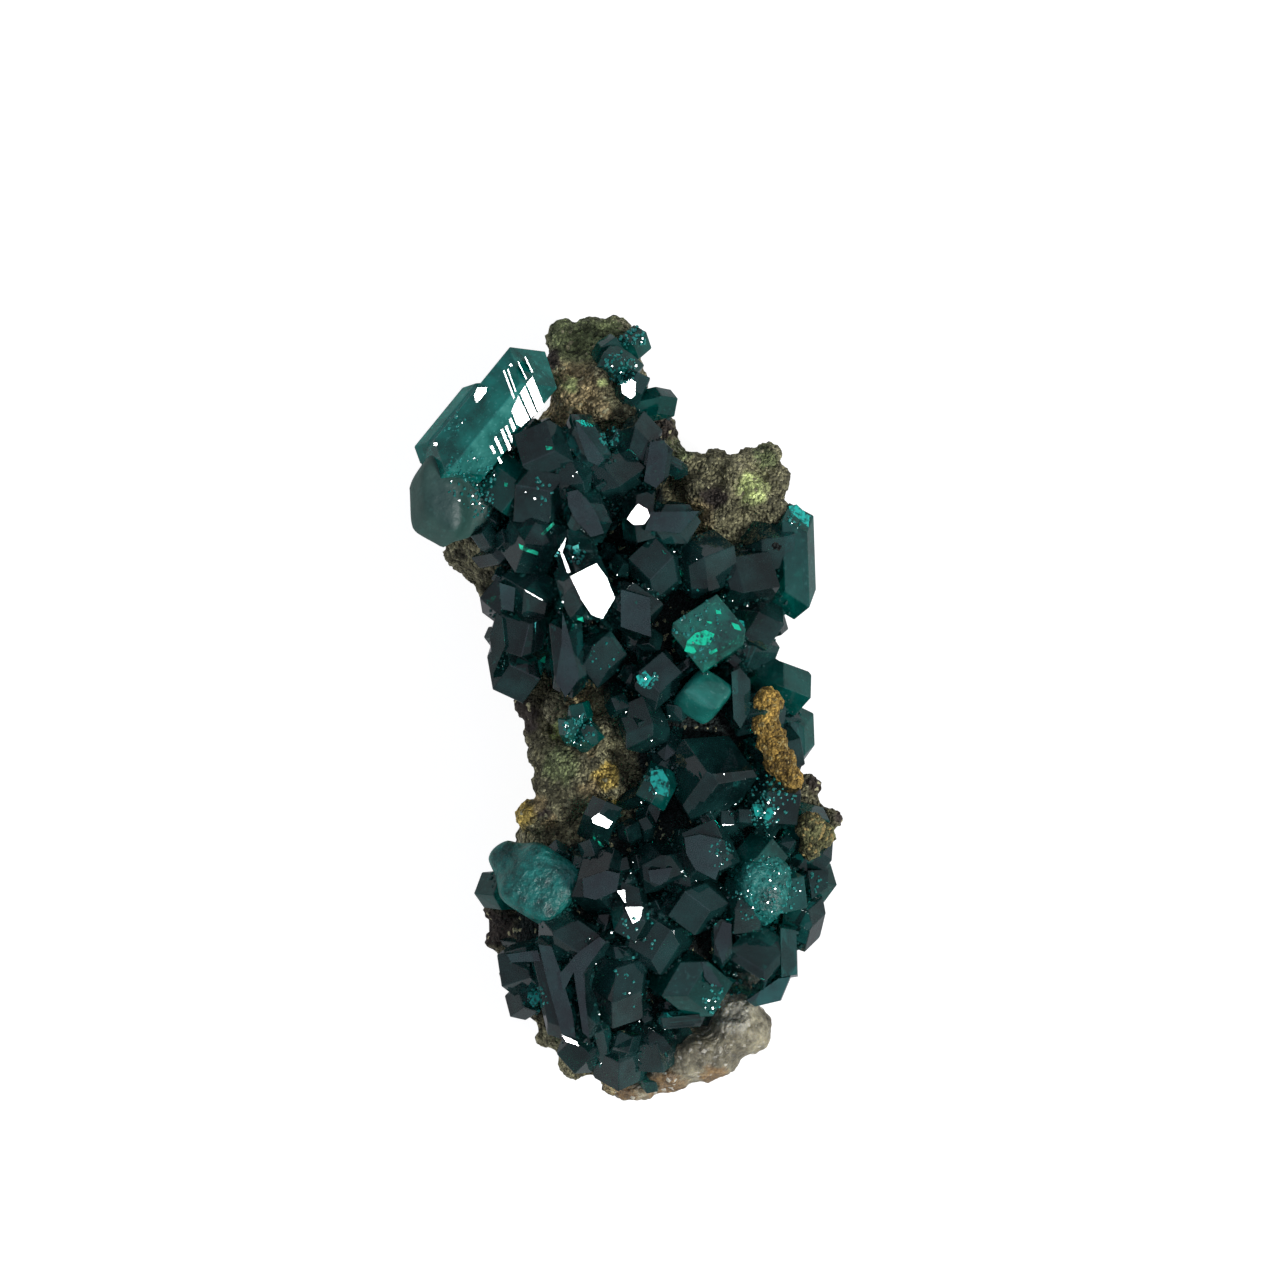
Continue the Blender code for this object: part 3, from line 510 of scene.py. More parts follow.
MILKY_CRYSTAL = Crystal(3.75, 0.85, 9.45, 90, 6, 2.25, 3.9, -8)
FROSTED_CRYSTALS = (
    Crystal(-4.5, -8.5, 8.1, 100, 30, 2.65, 6.2, -30),
    Crystal(-6.0, -7.5, 7.4, 150, 32, 1.20, 3.8, 0),
    Crystal(6.5, -8.7, 9.0, 97, 10, 1.75, 5.2, 0),
)
DARK_CRYSTALS = (
    # neck
    Crystal(-2.2, 13.5, 9.5, 121, 6, 0.95, 3.6, 0),
    Crystal(0.3, 13.5, 9.0, 75, 12, 1.10, 3.6, 5),
    Crystal(1.2, 12.4, 9.2, 80, 8, 0.80, 3.0, 0),
    Crystal(-4.3, 13.0, 9.0, 150, 20, 1.60, 4.4, -20),
    Crystal(-4.7, 11.0, 9.1, 230, 26, 1.60, 4.4, 80),
    Crystal(-0.9, 11.6, 9.0, 20, 28, 1.50, 4.2, 45),
    Crystal(-2.9, 11.6, 9.1, 300, 25, 1.40, 4.2, 15),
    # chest
    Crystal(-2.2, 9.9, 10.0, 118, 5, 1.20, 3.6, 0),
    Crystal(1.8, 9.5, 9.7, 180, 4, 1.15, 3.6, 0),
    Crystal(-2.7, 7.9, 9.6, 110, 28, 1.10, 3.4, 15),
    Crystal(0.2, 5.0, 9.8, 90, 5, 1.50, 3.4, 0),
    Crystal(-4.9, 8.7, 9.0, 240, 22, 1.60, 4.4, 40),
    Crystal(3.6, 7.4, 8.9, 30, 26, 1.70, 4.4, 20),
    Crystal(5.6, 6.6, 8.2, 350, 25, 1.70, 4.4, 50),
    Crystal(1.3, 7.2, 9.1, 100, 30, 1.40, 4.2, 80),
    Crystal(6.0, 4.6, 7.8, 350, 30, 1.40, 4.2, 10),
    Crystal(6.7, 8.3, 7.0, 20, 35, 1.50, 4.4, 15),
    # left side of the chest
    Crystal(-5.9, 5.4, 7.4, 170, 25, 1.30, 4.0, 0),
    Crystal(-4.9, 5.9, 8.6, 150, 24, 1.40, 4.2, 30),
    Crystal(-5.3, 3.9, 8.4, 200, 22, 1.45, 4.0, -22),
    Crystal(-5.8, 2.6, 7.2, 280, 10, 1.45, 4.9, -18),
    Crystal(-3.2, 2.9, 9.7, 276, 5, 0.95, 4.6, 0),
    Crystal(-1.7, 2.8, 9.2, 60, 28, 1.25, 3.8, 10),
    # waist
    Crystal(6.1, 3.1, 7.0, 5, 20, 1.25, 3.2, 10),
    Crystal(6.2, 0.0, 8.4, 10, 28, 1.15, 3.8, 30),
    Crystal(7.1, -2.0, 7.3, 30, 35, 1.35, 4.0, 5),
    Crystal(3.9, -3.2, 8.9, 120, 20, 2.30, 5.6, 35),
    Crystal(6.9, -4.3, 8.0, 10, 40, 1.60, 4.6, 15),
    Crystal(0.6, -0.6, 9.1, 90, 28, 1.35, 3.8, 50),
    Crystal(1.1, 1.6, 9.1, 75, 30, 1.30, 3.8, 100),
    # lower left
    Crystal(-1.5, -8.4, 9.2, 70, 24, 1.45, 4.2, 35),
    Crystal(-3.8, -13.8, 8.9, 283, 5, 0.95, 5.6, 0),
    Crystal(-2.4, -14.2, 8.8, 273, 5, 0.85, 4.8, 4),
    Crystal(-5.2, -12.7, 7.2, 215, 30, 1.40, 4.0, 10),
    Crystal(-5.1, -14.2, 6.4, 225, 15, 0.95, 3.2, 20),
    Crystal(-0.6, -17.0, 6.6, 268, 20, 1.50, 4.6, 30),
    Crystal(-2.2, -16.5, 6.7, 250, 25, 1.30, 4.2, 5),
    Crystal(1.0, -16.4, 6.9, 290, 30, 1.30, 4.2, 20),
    Crystal(-0.6, -13.6, 8.7, 262, 18, 1.50, 5.0, 40),
    Crystal(-2.9, -11.4, 8.9, 145, 10, 1.40, 4.8, 20),
    # lower right
    Crystal(3.7, -7.0, 9.5, 140, 39, 1.60, 4.4, -30),
    Crystal(1.4, -7.6, 9.2, 30, 25, 1.30, 4.0, 0),
    Crystal(5.6, -9.5, 8.9, 250, 26, 1.30, 4.0, 45),
    Crystal(3.4, -9.5, 9.2, 200, 26, 1.40, 4.0, 70),
    Crystal(4.5, -11.4, 9.9, 92, 5, 0.55, 2.6, 0),
    Crystal(6.3, -12.3, 8.2, 95, 8, 1.80, 4.4, -12),
    Crystal(8.5, -10.3, 6.4, 280, 15, 1.30, 3.8, 0),
    Crystal(8.8, -7.0, 6.5, 345, 35, 1.20, 3.6, 15),
    Crystal(1.4, -11.4, 9.0, 120, 26, 1.60, 4.2, 60),
    Crystal(2.5, -15.3, 8.5, 5, 4, 0.50, 2.6, 0),
    # under the white faces
    Crystal(-2.35, 6.35, 10.6, 113.2, 19.6, 1.45, 4.2, 24),
    Crystal(-0.05, 16.10, 8.2, 71.0, 48.2, 0.80, 3.2, 11),
    Crystal(0.40, 9.90, 9.8, -94.3, 31.7, 0.95, 3.6, -48),
    Crystal(-1.60, -5.40, 8.9, 71.0, 48.2, 0.95, 3.6, 11),
    Crystal(-0.10, -9.70, 9.5, -79.5, 25.3, 1.00, 4.0, -43),
)
WAIST_DRUSE = (
    Crystal(-2.9, -0.9, 9.1, 120, 58, 0.70, 2.8, 0),
    Crystal(-2.2, -1.2, 9.3, 40, 62, 0.65, 2.8, 30),
    Crystal(-2.6, -0.3, 9.1, 80, 50, 0.65, 2.8, 60),
)


def listed_crystals():
    """All the listed crystals."""
    single = [GREAT_PRISM, SLIM_PRISM, BROAD_END[0], EMERALD_CRYSTAL, DEEP_GREEN_CRYSTAL, MILKY_CRYSTAL]
    return single + list(TEAL_CRYSTALS + FROSTED_CRYSTALS + DARK_CRYSTALS)


print(len(listed_crystals()), "crystals placed by hand")

# %% [markdown]
# ## The rock's form
# The rock is built from rounded lumps: large ones for its body, small ones for the nodules where it is
# bare. Overlapping balls are added, melted under one skin with a voxel Remesh, and pushed in by noise. The
# same numbers also tell the crystals where the rock's surface is.

# %% Rock tables
Lump = namedtuple("Lump", "x y z rx ry rz")
BODY_LUMPS = (
    Lump(-1.7, 16.2, 4.4, 2.7, 3.2, 4.2),
    Lump(-1.4, 12.0, 4.0, 4.6, 4.6, 4.6),
    Lump(-6.0, 9.2, 3.8, 3.9, 3.6, 3.8),
    Lump(4.6, 9.6, 3.8, 3.6, 3.4, 4.2),
    Lump(0.4, 5.2, 3.6, 7.0, 5.6, 4.8),
    Lump(0.8, -0.6, 3.8, 6.2, 4.8, 4.9),
    Lump(1.4, -7.2, 3.8, 7.7, 6.0, 5.0),
    Lump(-0.8, -11.6, 3.8, 6.0, 5.2, 4.8),
    Lump(-0.6, -15.0, 3.6, 3.9, 3.7, 4.2),
)
NODULES = (
    # top of the specimen
    (-3.3, 18.7, 6.2, 1.15), (-2.1, 19.0, 6.4, 1.05), (-0.9, 19.0, 6.2, 1.0), (-3.5, 17.2, 7.0, 1.1),
    (-2.9, 15.9, 7.9, 1.1), (-1.7, 16.6, 8.1, 1.0), (-3.2, 14.7, 7.9, 1.0), (-1.6, 15.2, 8.4, 0.9),
    (1.4, 14.3, 6.6, 0.8), (-0.3, 15.0, 7.9, 0.9),
    # right shoulder
    (2.9, 12.3, 6.9, 1.0), (4.1, 12.4, 7.2, 0.95), (5.2, 12.0, 7.6, 1.0), (6.0, 12.6, 6.9, 0.9),
    (6.8, 12.9, 6.6, 0.85), (7.1, 11.7, 6.8, 0.95), (6.1, 10.9, 7.8, 1.0), (4.8, 10.6, 8.1, 0.8),
    (3.4, 11.1, 7.9, 0.9), (7.0, 10.2, 7.2, 0.9), (7.0, 8.5, 8.0, 0.6), (4.2, 9.7, 8.0, 0.8),
    # left elbow
    (-8.7, 8.1, 5.0, 1.1), (-8.0, 7.2, 4.8, 1.0), (-7.2, 6.2, 4.8, 1.0), (-9.0, 9.2, 4.6, 1.1),
    # waist
    (-5.0, 0.3, 6.0, 1.0), (-4.5, -0.9, 6.0, 1.1), (-4.2, -2.1, 7.0, 1.1), (-3.3, -2.4, 7.9, 1.1),
    (-1.9, -2.4, 8.4, 1.0), (-1.0, -3.5, 8.4, 1.0), (-2.5, -3.7, 8.2, 1.1), (-4.0, -3.5, 7.5, 1.1),
    (-1.5, -1.0, 8.5, 0.9), (-3.4, 0.2, 7.7, 1.1), (-5.0, -5.2, 6.8, 1.0), (-3.6, -4.7, 7.8, 0.9),
    # edges
    (-4.9, 1.4, 6.0, 0.95), (8.7, -4.3, 5.4, 0.85),
    (9.0, -3.7, 5.2, 0.85), (10.05, -5.3, 5.4, 0.85), (9.2, -5.0, 5.0, 0.9), (-6.6, -10.0, 5.2, 1.0),
    (-6.6, -11.3, 4.8, 0.95), (-6.0, -12.6, 4.8, 0.95), (-5.0, -14.6, 4.8, 1.1), (-4.0, -16.2, 4.8, 1.1),
    (-2.8, -17.6, 4.6, 1.1), (-0.9, -18.5, 4.6, 1.1), (0.6, -18.1, 5.0, 1.1),
)
CALCITE_LUMPS = (
    Lump(5.3, -14.9, 6.0, 1.5, 1.3, 1.7),
    Lump(5.3, -15.9, 5.2, 2.1, 1.8, 2.9),
    Lump(3.4, -17.1, 4.8, 2.6, 1.9, 3.2),
    Lump(1.7, -18.2, 4.4, 1.9, 1.3, 2.6),
    Lump(0.1, -18.9, 4.2, 1.7, 1.0, 2.0),
)
SLOPE_STEP = 0.4
STEEPEST_SLOPE = 2.0


def rock_height(x, y):
    """Height of the rock's smooth body over the table, in millimetres."""
    heights = []
    for lump in BODY_LUMPS:
        inside = 1 - ((x - lump.x) / lump.rx) ** 2 - ((y - lump.y) / lump.ry) ** 2
        if inside > 0:
            heights.append(lump.z + lump.rz * math.sqrt(inside))
    return max(heights, default=0.0)


def rock_slope(x, y):
    """Direction straight out of the rock's smooth body."""
    across = (rock_height(x - SLOPE_STEP, y) - rock_height(x + SLOPE_STEP, y)) / (2 * SLOPE_STEP)
    along = (rock_height(x, y - SLOPE_STEP) - rock_height(x, y + SLOPE_STEP)) / (2 * SLOPE_STEP)
    flat = Vector((across, along))
    if flat.length > STEEPEST_SLOPE:
        flat *= STEEPEST_SLOPE / flat.length
    return Vector((flat.x, flat.y, 1)).normalized()


# %% [markdown]
# ## Crystals between the crystals
# No one places two hundred crystals by hand. Between the ones that matter, a loose triangular grid is
# filled with smaller crystals that lean at random off the rock's slope, and a row of them points outwards
# round the flanks. The random numbers are seeded, so the specimen grows the same way each time.

# %% Fill and flank crystals
FILL_SEED = 41
FILL_SPACING = 1.85
FILL_JITTER = 0.4
FILL_RADIUS = (1.1, 1.6)
FILL_LENGTH = 4.4
FILL_TILT = 76.0
FILL_SINK = (-0.1, 0.5)
FILL_ROWS = range(-12, 12)
FILL_COLUMNS = range(-7, 8)
ROW_RATIO = 0.87
ROW_STEP = ROW_RATIO * FILL_SPACING
CLEAR_OF_AXIS = 0.35
CLEAR_OF_RADIUS = 0.8
LEAST_EDGE = 0.7
FLANK_SPACING = 2.3
FLANK_HEIGHTS = (4.2, 6.2)
FLANK_RADIUS = (1.0, 1.4)
FLANK_LENGTH = 4.0
FLANK_INSET = 1.7
FLANK_RISE = (5, 40)
FLANK_SWING = 25
FLANK_COVER = 1.5
CRUST_EDGE = (
    (-8.6, 11.0), (-8.8, 9.4), (-7.4, 7.2), (-7.2, 5.4), (-7.0, 3.2), (-6.4, 1.7), (-4.6, 1.2), (-2.2, 1.4),
    (-0.6, -0.4), (-0.2, -2.8), (-0.6, -5.0), (-2.4, -5.6), (-4.4, -6.2), (-6.4, -6.9), (-7.5, -8.6),
    (-6.6, -10.4), (-6.6, -12.8), (-5.4, -14.6), (-3.8, -16.2), (-2.2, -17.8), (-0.6, -18.7), (1.2, -18.2),
    (2.6, -16.2), (5.0, -15.1), (7.2, -13.8), (8.6, -12.0), (9.6, -10.0), (9.8, -8.0), (8.8, -6.2),
    (8.8, -3.4), (8.8, -1.6), (8.4, 1.0), (7.4, 3.2), (8.4, 5.0), (8.8, 8.6), (7.8, 9.4), (5.6, 8.8),
    (3.2, 9.6), (2.2, 11.2), (1.8, 13.4), (1.4, 15.6), (-0.6, 15.4), (-1.4, 14.2), (-4.0, 14.6),
    (-5.4, 15.0),
)


def sides_of(outline):
    """Each corner with the next one, all the way round."""
    return zip(outline, outline[1:] + outline[:1])


def limited(value):
    """A value, kept between 0 and 1."""
    return max(0.0, min(1.0, value))


def edge_distance(x, y):
    """How far a point lies inside the crust's edge; negative outside."""
    inside = False
    nearest = math.inf
    for (ax, ay), (bx, by) in sides_of(CRUST_EDGE):
        if (ay > y) != (by > y) and x < ax + (y - ay) / (by - ay) * (bx - ax):
            inside = not inside
        run = Vector((bx - ax, by - ay))
        share = limited(Vector((x - ax, y - ay)).dot(run) / run.length_squared)
        nearest = min(nearest, math.hypot(x - ax - share * run.x, y - ay - share * run.y))
    return nearest if inside else -nearest


def leaning(direction, rng, most):
    """A direction tilted at random by up to a number of degrees, as heading and rise."""
    tilt = math.radians(rng.uniform(0, most))
    turn = rng.uniform(0, 2 * math.pi)
    side = direction.orthogonal().normalized()
    side.rotate(Matrix.Rotation(turn, 3, direction))
    leaned = direction * math.cos(tilt) + side * math.sin(tilt)
    return math.degrees(math.atan2(leaned.y, leaned.x)), math.degrees(math.asin(leaned.z))


def axis_distance(x, y, crystal):
    """How far a point lies from a crystal's axis, both seen from above."""
    heading = math.radians(crystal.heading)
    along = Vector((math.cos(heading), math.sin(heading)))
    reach = 0.5 * crystal.length * math.cos(math.radians(crystal.rise))
    offset = Vector((x - crystal.x, y - crystal.y))
    run = max(-reach, min(reach, offset.dot(along)))
    return (offset - along * run).length


def fill_crystals():
    """Crystals on a loose triangular grid over the crust, where no crystal of the list lies already."""
    rng = random.Random(FILL_SEED)
    listed = listed_crystals()
    found = []
    for row in FILL_ROWS:
        for column in FILL_COLUMNS:
            x = (column + 0.5 * (row % 2)) * FILL_SPACING + rng.uniform(-FILL_JITTER, FILL_JITTER)
            y = row * ROW_STEP + rng.uniform(-FILL_JITTER, FILL_JITTER)
            radius = rng.uniform(*FILL_RADIUS)
            spin = rng.uniform(0, END_TURN)
            heading, rise = leaning(rock_slope(x, y), rng, FILL_TILT)
            z = rock_height(x, y) + rng.uniform(*FILL_SINK)
            taken = any(
                axis_distance(x, y, other) < CLEAR_OF_AXIS + CLEAR_OF_RADIUS * other.radius
                for other in listed
            )
            if not taken and edge_distance(x, y) > LEAST_EDGE * radius:
                found.append(Crystal(x, y, z, heading, rise, radius, FILL_LENGTH, spin))
    return found


def flank_crystals():
    """Crystals round the flanks, pointing outwards under the crust's edge."""
    rng = random.Random(FILL_SEED + 1)
    found = []
    for (ax, ay), (bx, by) in sides_of(CRUST_EDGE):
        run = Vector((bx - ax, by - ay))
        out = Vector((run.y, -run.x)).normalized()
        count = max(1, round(run.length / FLANK_SPACING))
        for step in range(count):
            share = (step + 0.5) / count
            edge = Vector((ax, ay)) + share * run
            root = edge - FLANK_INSET * out
            z = rng.uniform(*FLANK_HEIGHTS)
            radius = rng.uniform(*FLANK_RADIUS)
            heading = math.degrees(math.atan2(out.y, out.x)) + rng.uniform(-FLANK_SWING, FLANK_SWING)
            rise = rng.uniform(*FLANK_RISE)
            spin = rng.uniform(0, END_TURN)
            if rock_height(edge.x + out.x, edge.y + out.y) < z + FLANK_COVER:
                found.append(Crystal(root.x, root.y, z, heading, rise, radius, FLANK_LENGTH, spin))
    return found


# %% [markdown]
# Smaller crystals still, a second generation, sit in the gaps and on the shoulders of the larger ones. They
# break up every bare stretch between two big faces, as they do on the real specimen.

# %% Second generation
SMALL_SEED = 7
SMALL_SPACING = 1.15
SMALL_RADIUS = (0.4, 0.75)
SMALL_TILT = 75.0
SMALL_LOWEST = 5.0
SMALL_SHARE = 0.55
SMALL_LENGTH = 3.2
SMALL_JITTER = 0.4
SMALL_SINK = (-0.3, 0.5)
SMALL_LEAST_EDGE = 0.6
SMALL_ROWS = range(-20, 19)
SMALL_COLUMNS = range(-10, 11)


def small_crystals():
    """A finer grid of small crystals over the crust, with gaps."""
    rng = random.Random(SMALL_SEED)
    found = []
    for row in SMALL_ROWS:
        for column in SMALL_COLUMNS:
            x = (column + 0.5 * (row % 2)) * SMALL_SPACING + rng.uniform(-SMALL_JITTER, SMALL_JITTER)
            y = ROW_RATIO * row * SMALL_SPACING + rng.uniform(-SMALL_JITTER, SMALL_JITTER)
            radius = rng.uniform(*SMALL_RADIUS)
            spin = rng.uniform(0, END_TURN)
            heading, rise = leaning(rock_slope(x, y), rng, SMALL_TILT)
            z = rock_height(x, y) + rng.uniform(*SMALL_SINK)
            kept = rng.random() < SMALL_SHARE
            if kept and edge_distance(x, y) > SMALL_LEAST_EDGE * radius and z > SMALL_LOWEST:
                found.append(Crystal(x, y, z, heading, rise, radius, SMALL_LENGTH, spin))
    return found


# %% [markdown]
# Left to chance, too many faces would look straight up and mirror the pale tent overhead, and the crust
# would look like a heap of grey cubes. On the real piece only some faces do that, and those are modelled
# one by one further on. So each dark crystal is spun on its own axis to a position where none of its faces
# looks up.

# %% Spin the dark crystals
CALM_UP = 0.955
CALM_GLINT = 0.99
SPIN_STEPS = (0, 10, -10, 20, -20, 30, -30, 40, -40, 50, -50, 60)


def face_normals(crystal):
    """Directions of a crystal's prism faces and end faces."""
    turn = axis_frame(crystal).to_3x3()
    turns = [math.radians(SIDE_TURN * side) for side in range(PRISM_SIDES)]
    sides = [Vector((math.cos(angle), math.sin(angle), 0)) for angle in turns]
    ends = [normal for _, normal in cut_faces(crystal)]
    return [turn @ normal for normal in sides + ends]


def calm(crystal):
    """The crystal, spun so that no face mirrors the tent's top or the soft box, if that can be."""
    best = crystal
    least = 2.0
    for step in SPIN_STEPS:
        spun = crystal._replace(spin=crystal.spin + step)
        normals = face_normals(spun)
        up = max(normal.z for normal in normals)
        glint = max(normal.dot(GLINT) for normal in normals)
        worst = max(up - CALM_UP, glint - CALM_GLINT)
        if worst <= 0:
            return spun
        if worst < least:
            best = spun
            least = worst
    return best


dark = list(DARK_CRYSTALS) + fill_crystals() + flank_crystals() + small_crystals()
deep = fuse([grow(calm(crystal)) for crystal in dark], "deep_crystals")
print(len(dark), "dark crystals fused")

# %% [markdown]
# ## The crystals that stand out
# The light teal crystals and the cloudy ones are pieces of their own, each group with its own material.
# Where two of them overlap they are fused, so that light doesn't meet a skin that isn't there. The cloudy
# ones are worn round: a voxel Remesh gives them an even skin, and a Smooth modifier pulls their edges in.

# %% Teal and cloudy crystals
FROST_VOXEL = 0.13
FROSTED_ROUNDS = 180
BROAD_ROUNDS = 80
MILKY_ROUNDS = 70
SMOOTHING = 0.5


def melt(thing, voxel):
    """One closed skin round everything in the mesh."""
    apply_new(thing, "REMESH", mode="VOXEL", voxel_size=voxel * MM)


def worn_round(thing, rounds):
    """Melt a piece's sharp edges away."""
    melt(thing, FROST_VOXEL)
    apply_new(thing, "SMOOTH", factor=SMOOTHING, iterations=rounds)
    pick(thing)
    bpy.ops.object.shade_smooth()
    return thing


teal = fuse([grow(crystal) for crystal in TEAL_CRYSTALS + (DEEP_GREEN_CRYSTAL,)], "teal_crystals")
great = fuse([grow(GREAT_PRISM), grow(SLIM_PRISM)], "great_prism")
frosted = fuse([grow(crystal) for crystal in FROSTED_CRYSTALS], "frosted_crystals")
frosted = worn_round(frosted, FROSTED_ROUNDS)
broad = worn_round(fuse([grow(crystal) for crystal in BROAD_END], "broad_end"), BROAD_ROUNDS)
milky = worn_round(grow(MILKY_CRYSTAL, "milky_crystal"), MILKY_ROUNDS)
green = grow(EMERALD_CRYSTAL, "emerald_crystal")
druse = fuse([grow(crystal) for crystal in WAIST_DRUSE], "waist_druse")

# %% [markdown]
# ## Faces measured on the picture
# Some faces make this specimen what it is: the white ones that mirror the soft box, and the calm grey ones
# that mirror the tent overhead. Their corners were read off the picture in pixels. Each becomes the flat
# top of one more crystal. The helper looks straight down on the crystals that are there already, finds how
# high they reach under the outline, and lays the new face just over them, turned to the direction it
# mirrors. Its sides flare out into the crust.

# %% Measured faces
FACE_LIFT = 0.03
FACE_DEPTH = 1.5
FACE_FLARE = 1.15
REACH_STEPS = 24
LOOK_FROM = 40
GREY_SEED = 5
GREY_TILT = 0.1
HOOK_LIFT = 0.45
HOOK_FACES = (
    # the hooked sliver beside the great white face; it stands proud, or that face would hide the box from it
    ((567, 538), (562.7, 555), (560, 561), (555, 557)),
    ((561.5, 554), (564.5, 555), (572, 575), (568, 573.5)),
)
WHITE_FACES = (
    # the great white face of the chest
    ((571, 577), (597, 564), (607, 578), (615, 598), (603, 619), (592, 615), (582, 600)),
    # top, chest and waist
    ((621, 384), (631, 380), (636, 383), (635, 396), (631, 400), (622, 394)),
    ((638, 505), (647, 510), (650, 517), (644, 525), (634, 526), (627, 520), (632, 512)),
    ((592, 817), (599, 812), (613, 821), (608, 828), (593, 822)),
    # slivers low on the left
    ((617, 889), (625, 888), (626, 903)),
    ((625, 905), (643, 905), (640, 918), (633, 922)),
    ((562, 1033), (577, 1040), (579, 1045), (566, 1040)),
)
GREY_FACES = (
    # chest
    ((567.5, 493.5), (578, 491), (588, 501), (597, 515), (604.5, 534), (591.5, 538), (576, 521), (569, 507)),
    ((650, 513), (699, 512), (680, 534), (645, 531)),
    ((621, 590), (650, 598), (651, 637), (621, 627)),
    ((575, 420), (590, 440), (605, 460), (598, 467), (588, 462), (580, 440)),
    ((650, 443), (664, 441), (668, 450), (664, 480), (656, 489), (644, 482)),
    # left side
    ((500, 583), (516, 588), (514, 612), (502, 609)),
    ((563, 612), (571, 640), (580, 678), (566, 697), (556, 680), (562, 645)),
    ((583, 877), (607, 869), (620, 872), (617, 889), (596, 898), (584, 895)),
    ((539, 943), (552, 945), (561, 970), (573, 1012), (576, 1036), (562, 1032), (549, 985)),
    (
        (600, 935), (606, 940), (583, 972), (590, 1036), (583, 1030), (574, 970), (564, 990), (560, 972),
        (578, 951),
    ),
    ((507, 953), (538, 949), (541, 960), (512, 961)),
    # right side
    ((684, 836), (700, 833), (722, 838), (717, 850), (722, 857), (715, 878), (695, 868), (686, 852)),
    ((648, 869), (672, 866), (668, 878), (660, 884), (650, 880)),
    ((722, 920), (731, 922), (730, 940), (722, 962), (714, 940)),
    ((746, 1000), (778, 978), (790, 976), (780, 1000), (755, 1006)),
    ((702, 960), (710, 966), (722, 985), (712, 985), (704, 975)),
)
PALE_FACES = (
    # corners, and the direction across the table that the face leans to
    (((731, 672), (740, 668), (750, 680), (750, 710), (740, 728), (733, 718)), (1.0, 0.1)),
    (((490, 637), (497, 613), (503, 618), (506, 645), (494, 673)), (-1.0, 0.1)),
    (((780, 927), (796, 930), (797, 974), (781, 976)), (1.0, 0.0)),
    (((808, 871), (829, 870), (828, 888), (812, 899)), (0.8, 0.3)),
    (((661, 1017), (699, 1013), (701, 1022), (663, 1026)), (0.1, -1.0)),
)
PALE_LEAN = 0.8


def outline_of(corners):
    """Corners in millimetres, for corners in pixels."""
    return [Vector(from_picture(px, py)) for px, py in corners]


def within(spot, outline):
    """Whether a place lies inside an outline."""
    inside = False
    for a, b in sides_of(outline):
        if (a.y > spot.y) != (b.y > spot.y) and spot.x < a.x + (spot.y - a.y) / (b.y - a.y) * (b.x - a.x):
            inside = not inside
    return inside


def surface_of(things):
    """A search tree over the surfaces of several pieces together."""
    corners = []
    faces = []
    for thing in things:
        start = len(corners)
        corners += [vertex.co.copy() for vertex in thing.data.vertices]
        faces += [[start + index for index in polygon.vertices] for polygon in thing.data.polygons]
    return BVHTree.FromPolygons(corners, faces)


def look_down(surface, x, y):
    """Place in millimetres and normal where a ray from straight above meets a surface, or None twice."""
    place, normal, *_ = surface.ray_cast(Vector((x, y, LOOK_FROM)) * MM, Vector((0, 0, -1)))
    return (None, None) if place is None else (place / MM, normal)


def reach_under(surface, outline, direction):
    """How far along a direction a surface reaches under an outline."""
    low = Vector((min(c.x for c in outline), min(c.y for c in outline)))
    high = Vector((max(c.x for c in outline), max(c.y for c in outline)))
    spots = list(outline)
    for across in range(1, REACH_STEPS):
        for along in range(1, REACH_STEPS):
            right = (high.x - low.x) * across / REACH_STEPS
            up = (high.y - low.y) * along / REACH_STEPS
            spot = low + Vector((right, up))
            if within(spot, outline):
                spots.append(spot)
    hits = [look_down(surface, spot.x, spot.y)[0] for spot in spots]
    return max(direction.dot(hit) for hit in hits if hit is not None)


def plate(outline, direction, reach, depth, flare=None):
    """A closed plate whose flat top looks in a direction, with a foot that may be flared."""
    deselect()
    bpy.ops.mesh.primitive_circle_add(vertices=len(outline), radius=MM, fill_type="NGON")
    thing = bpy.context.object
    for vertex, spot in zip(thing.data.vertices, outline):
        height = (reach - direction.x * spot.x - direction.y * spot.y) / direction.z
        vertex.co = Vector((spot.x, spot.y, height)) * MM
    middle = sum((vertex.co for vertex in thing.data.vertices), Vector()) / len(outline)
    bpy.ops.object.mode_set(mode="EDIT")
    bpy.ops.mesh.extrude_region_move(TRANSFORM_OT_translate={"value": (0, 0, -depth * MM)})
    if flare is not None:
        bpy.ops.transform.resize(value=(flare, flare, 1), center_override=middle)
    bpy.ops.mesh.select_all(action="SELECT")
    bpy.ops.mesh.normals_make_consistent(inside=False)
    bpy.ops.object.mode_set(mode="OBJECT")
    return thing


def measured_face(corners, direction, surface, lift=FACE_LIFT, depth=FACE_DEPTH, flare=FACE_FLARE):
    """A crystal whose flat top has the corners of a face on the picture."""
    outline = outline_of(corners)
    reach = reach_under(surface, outline, direction) + lift
    return plate(outline, direction, reach, depth, flare)


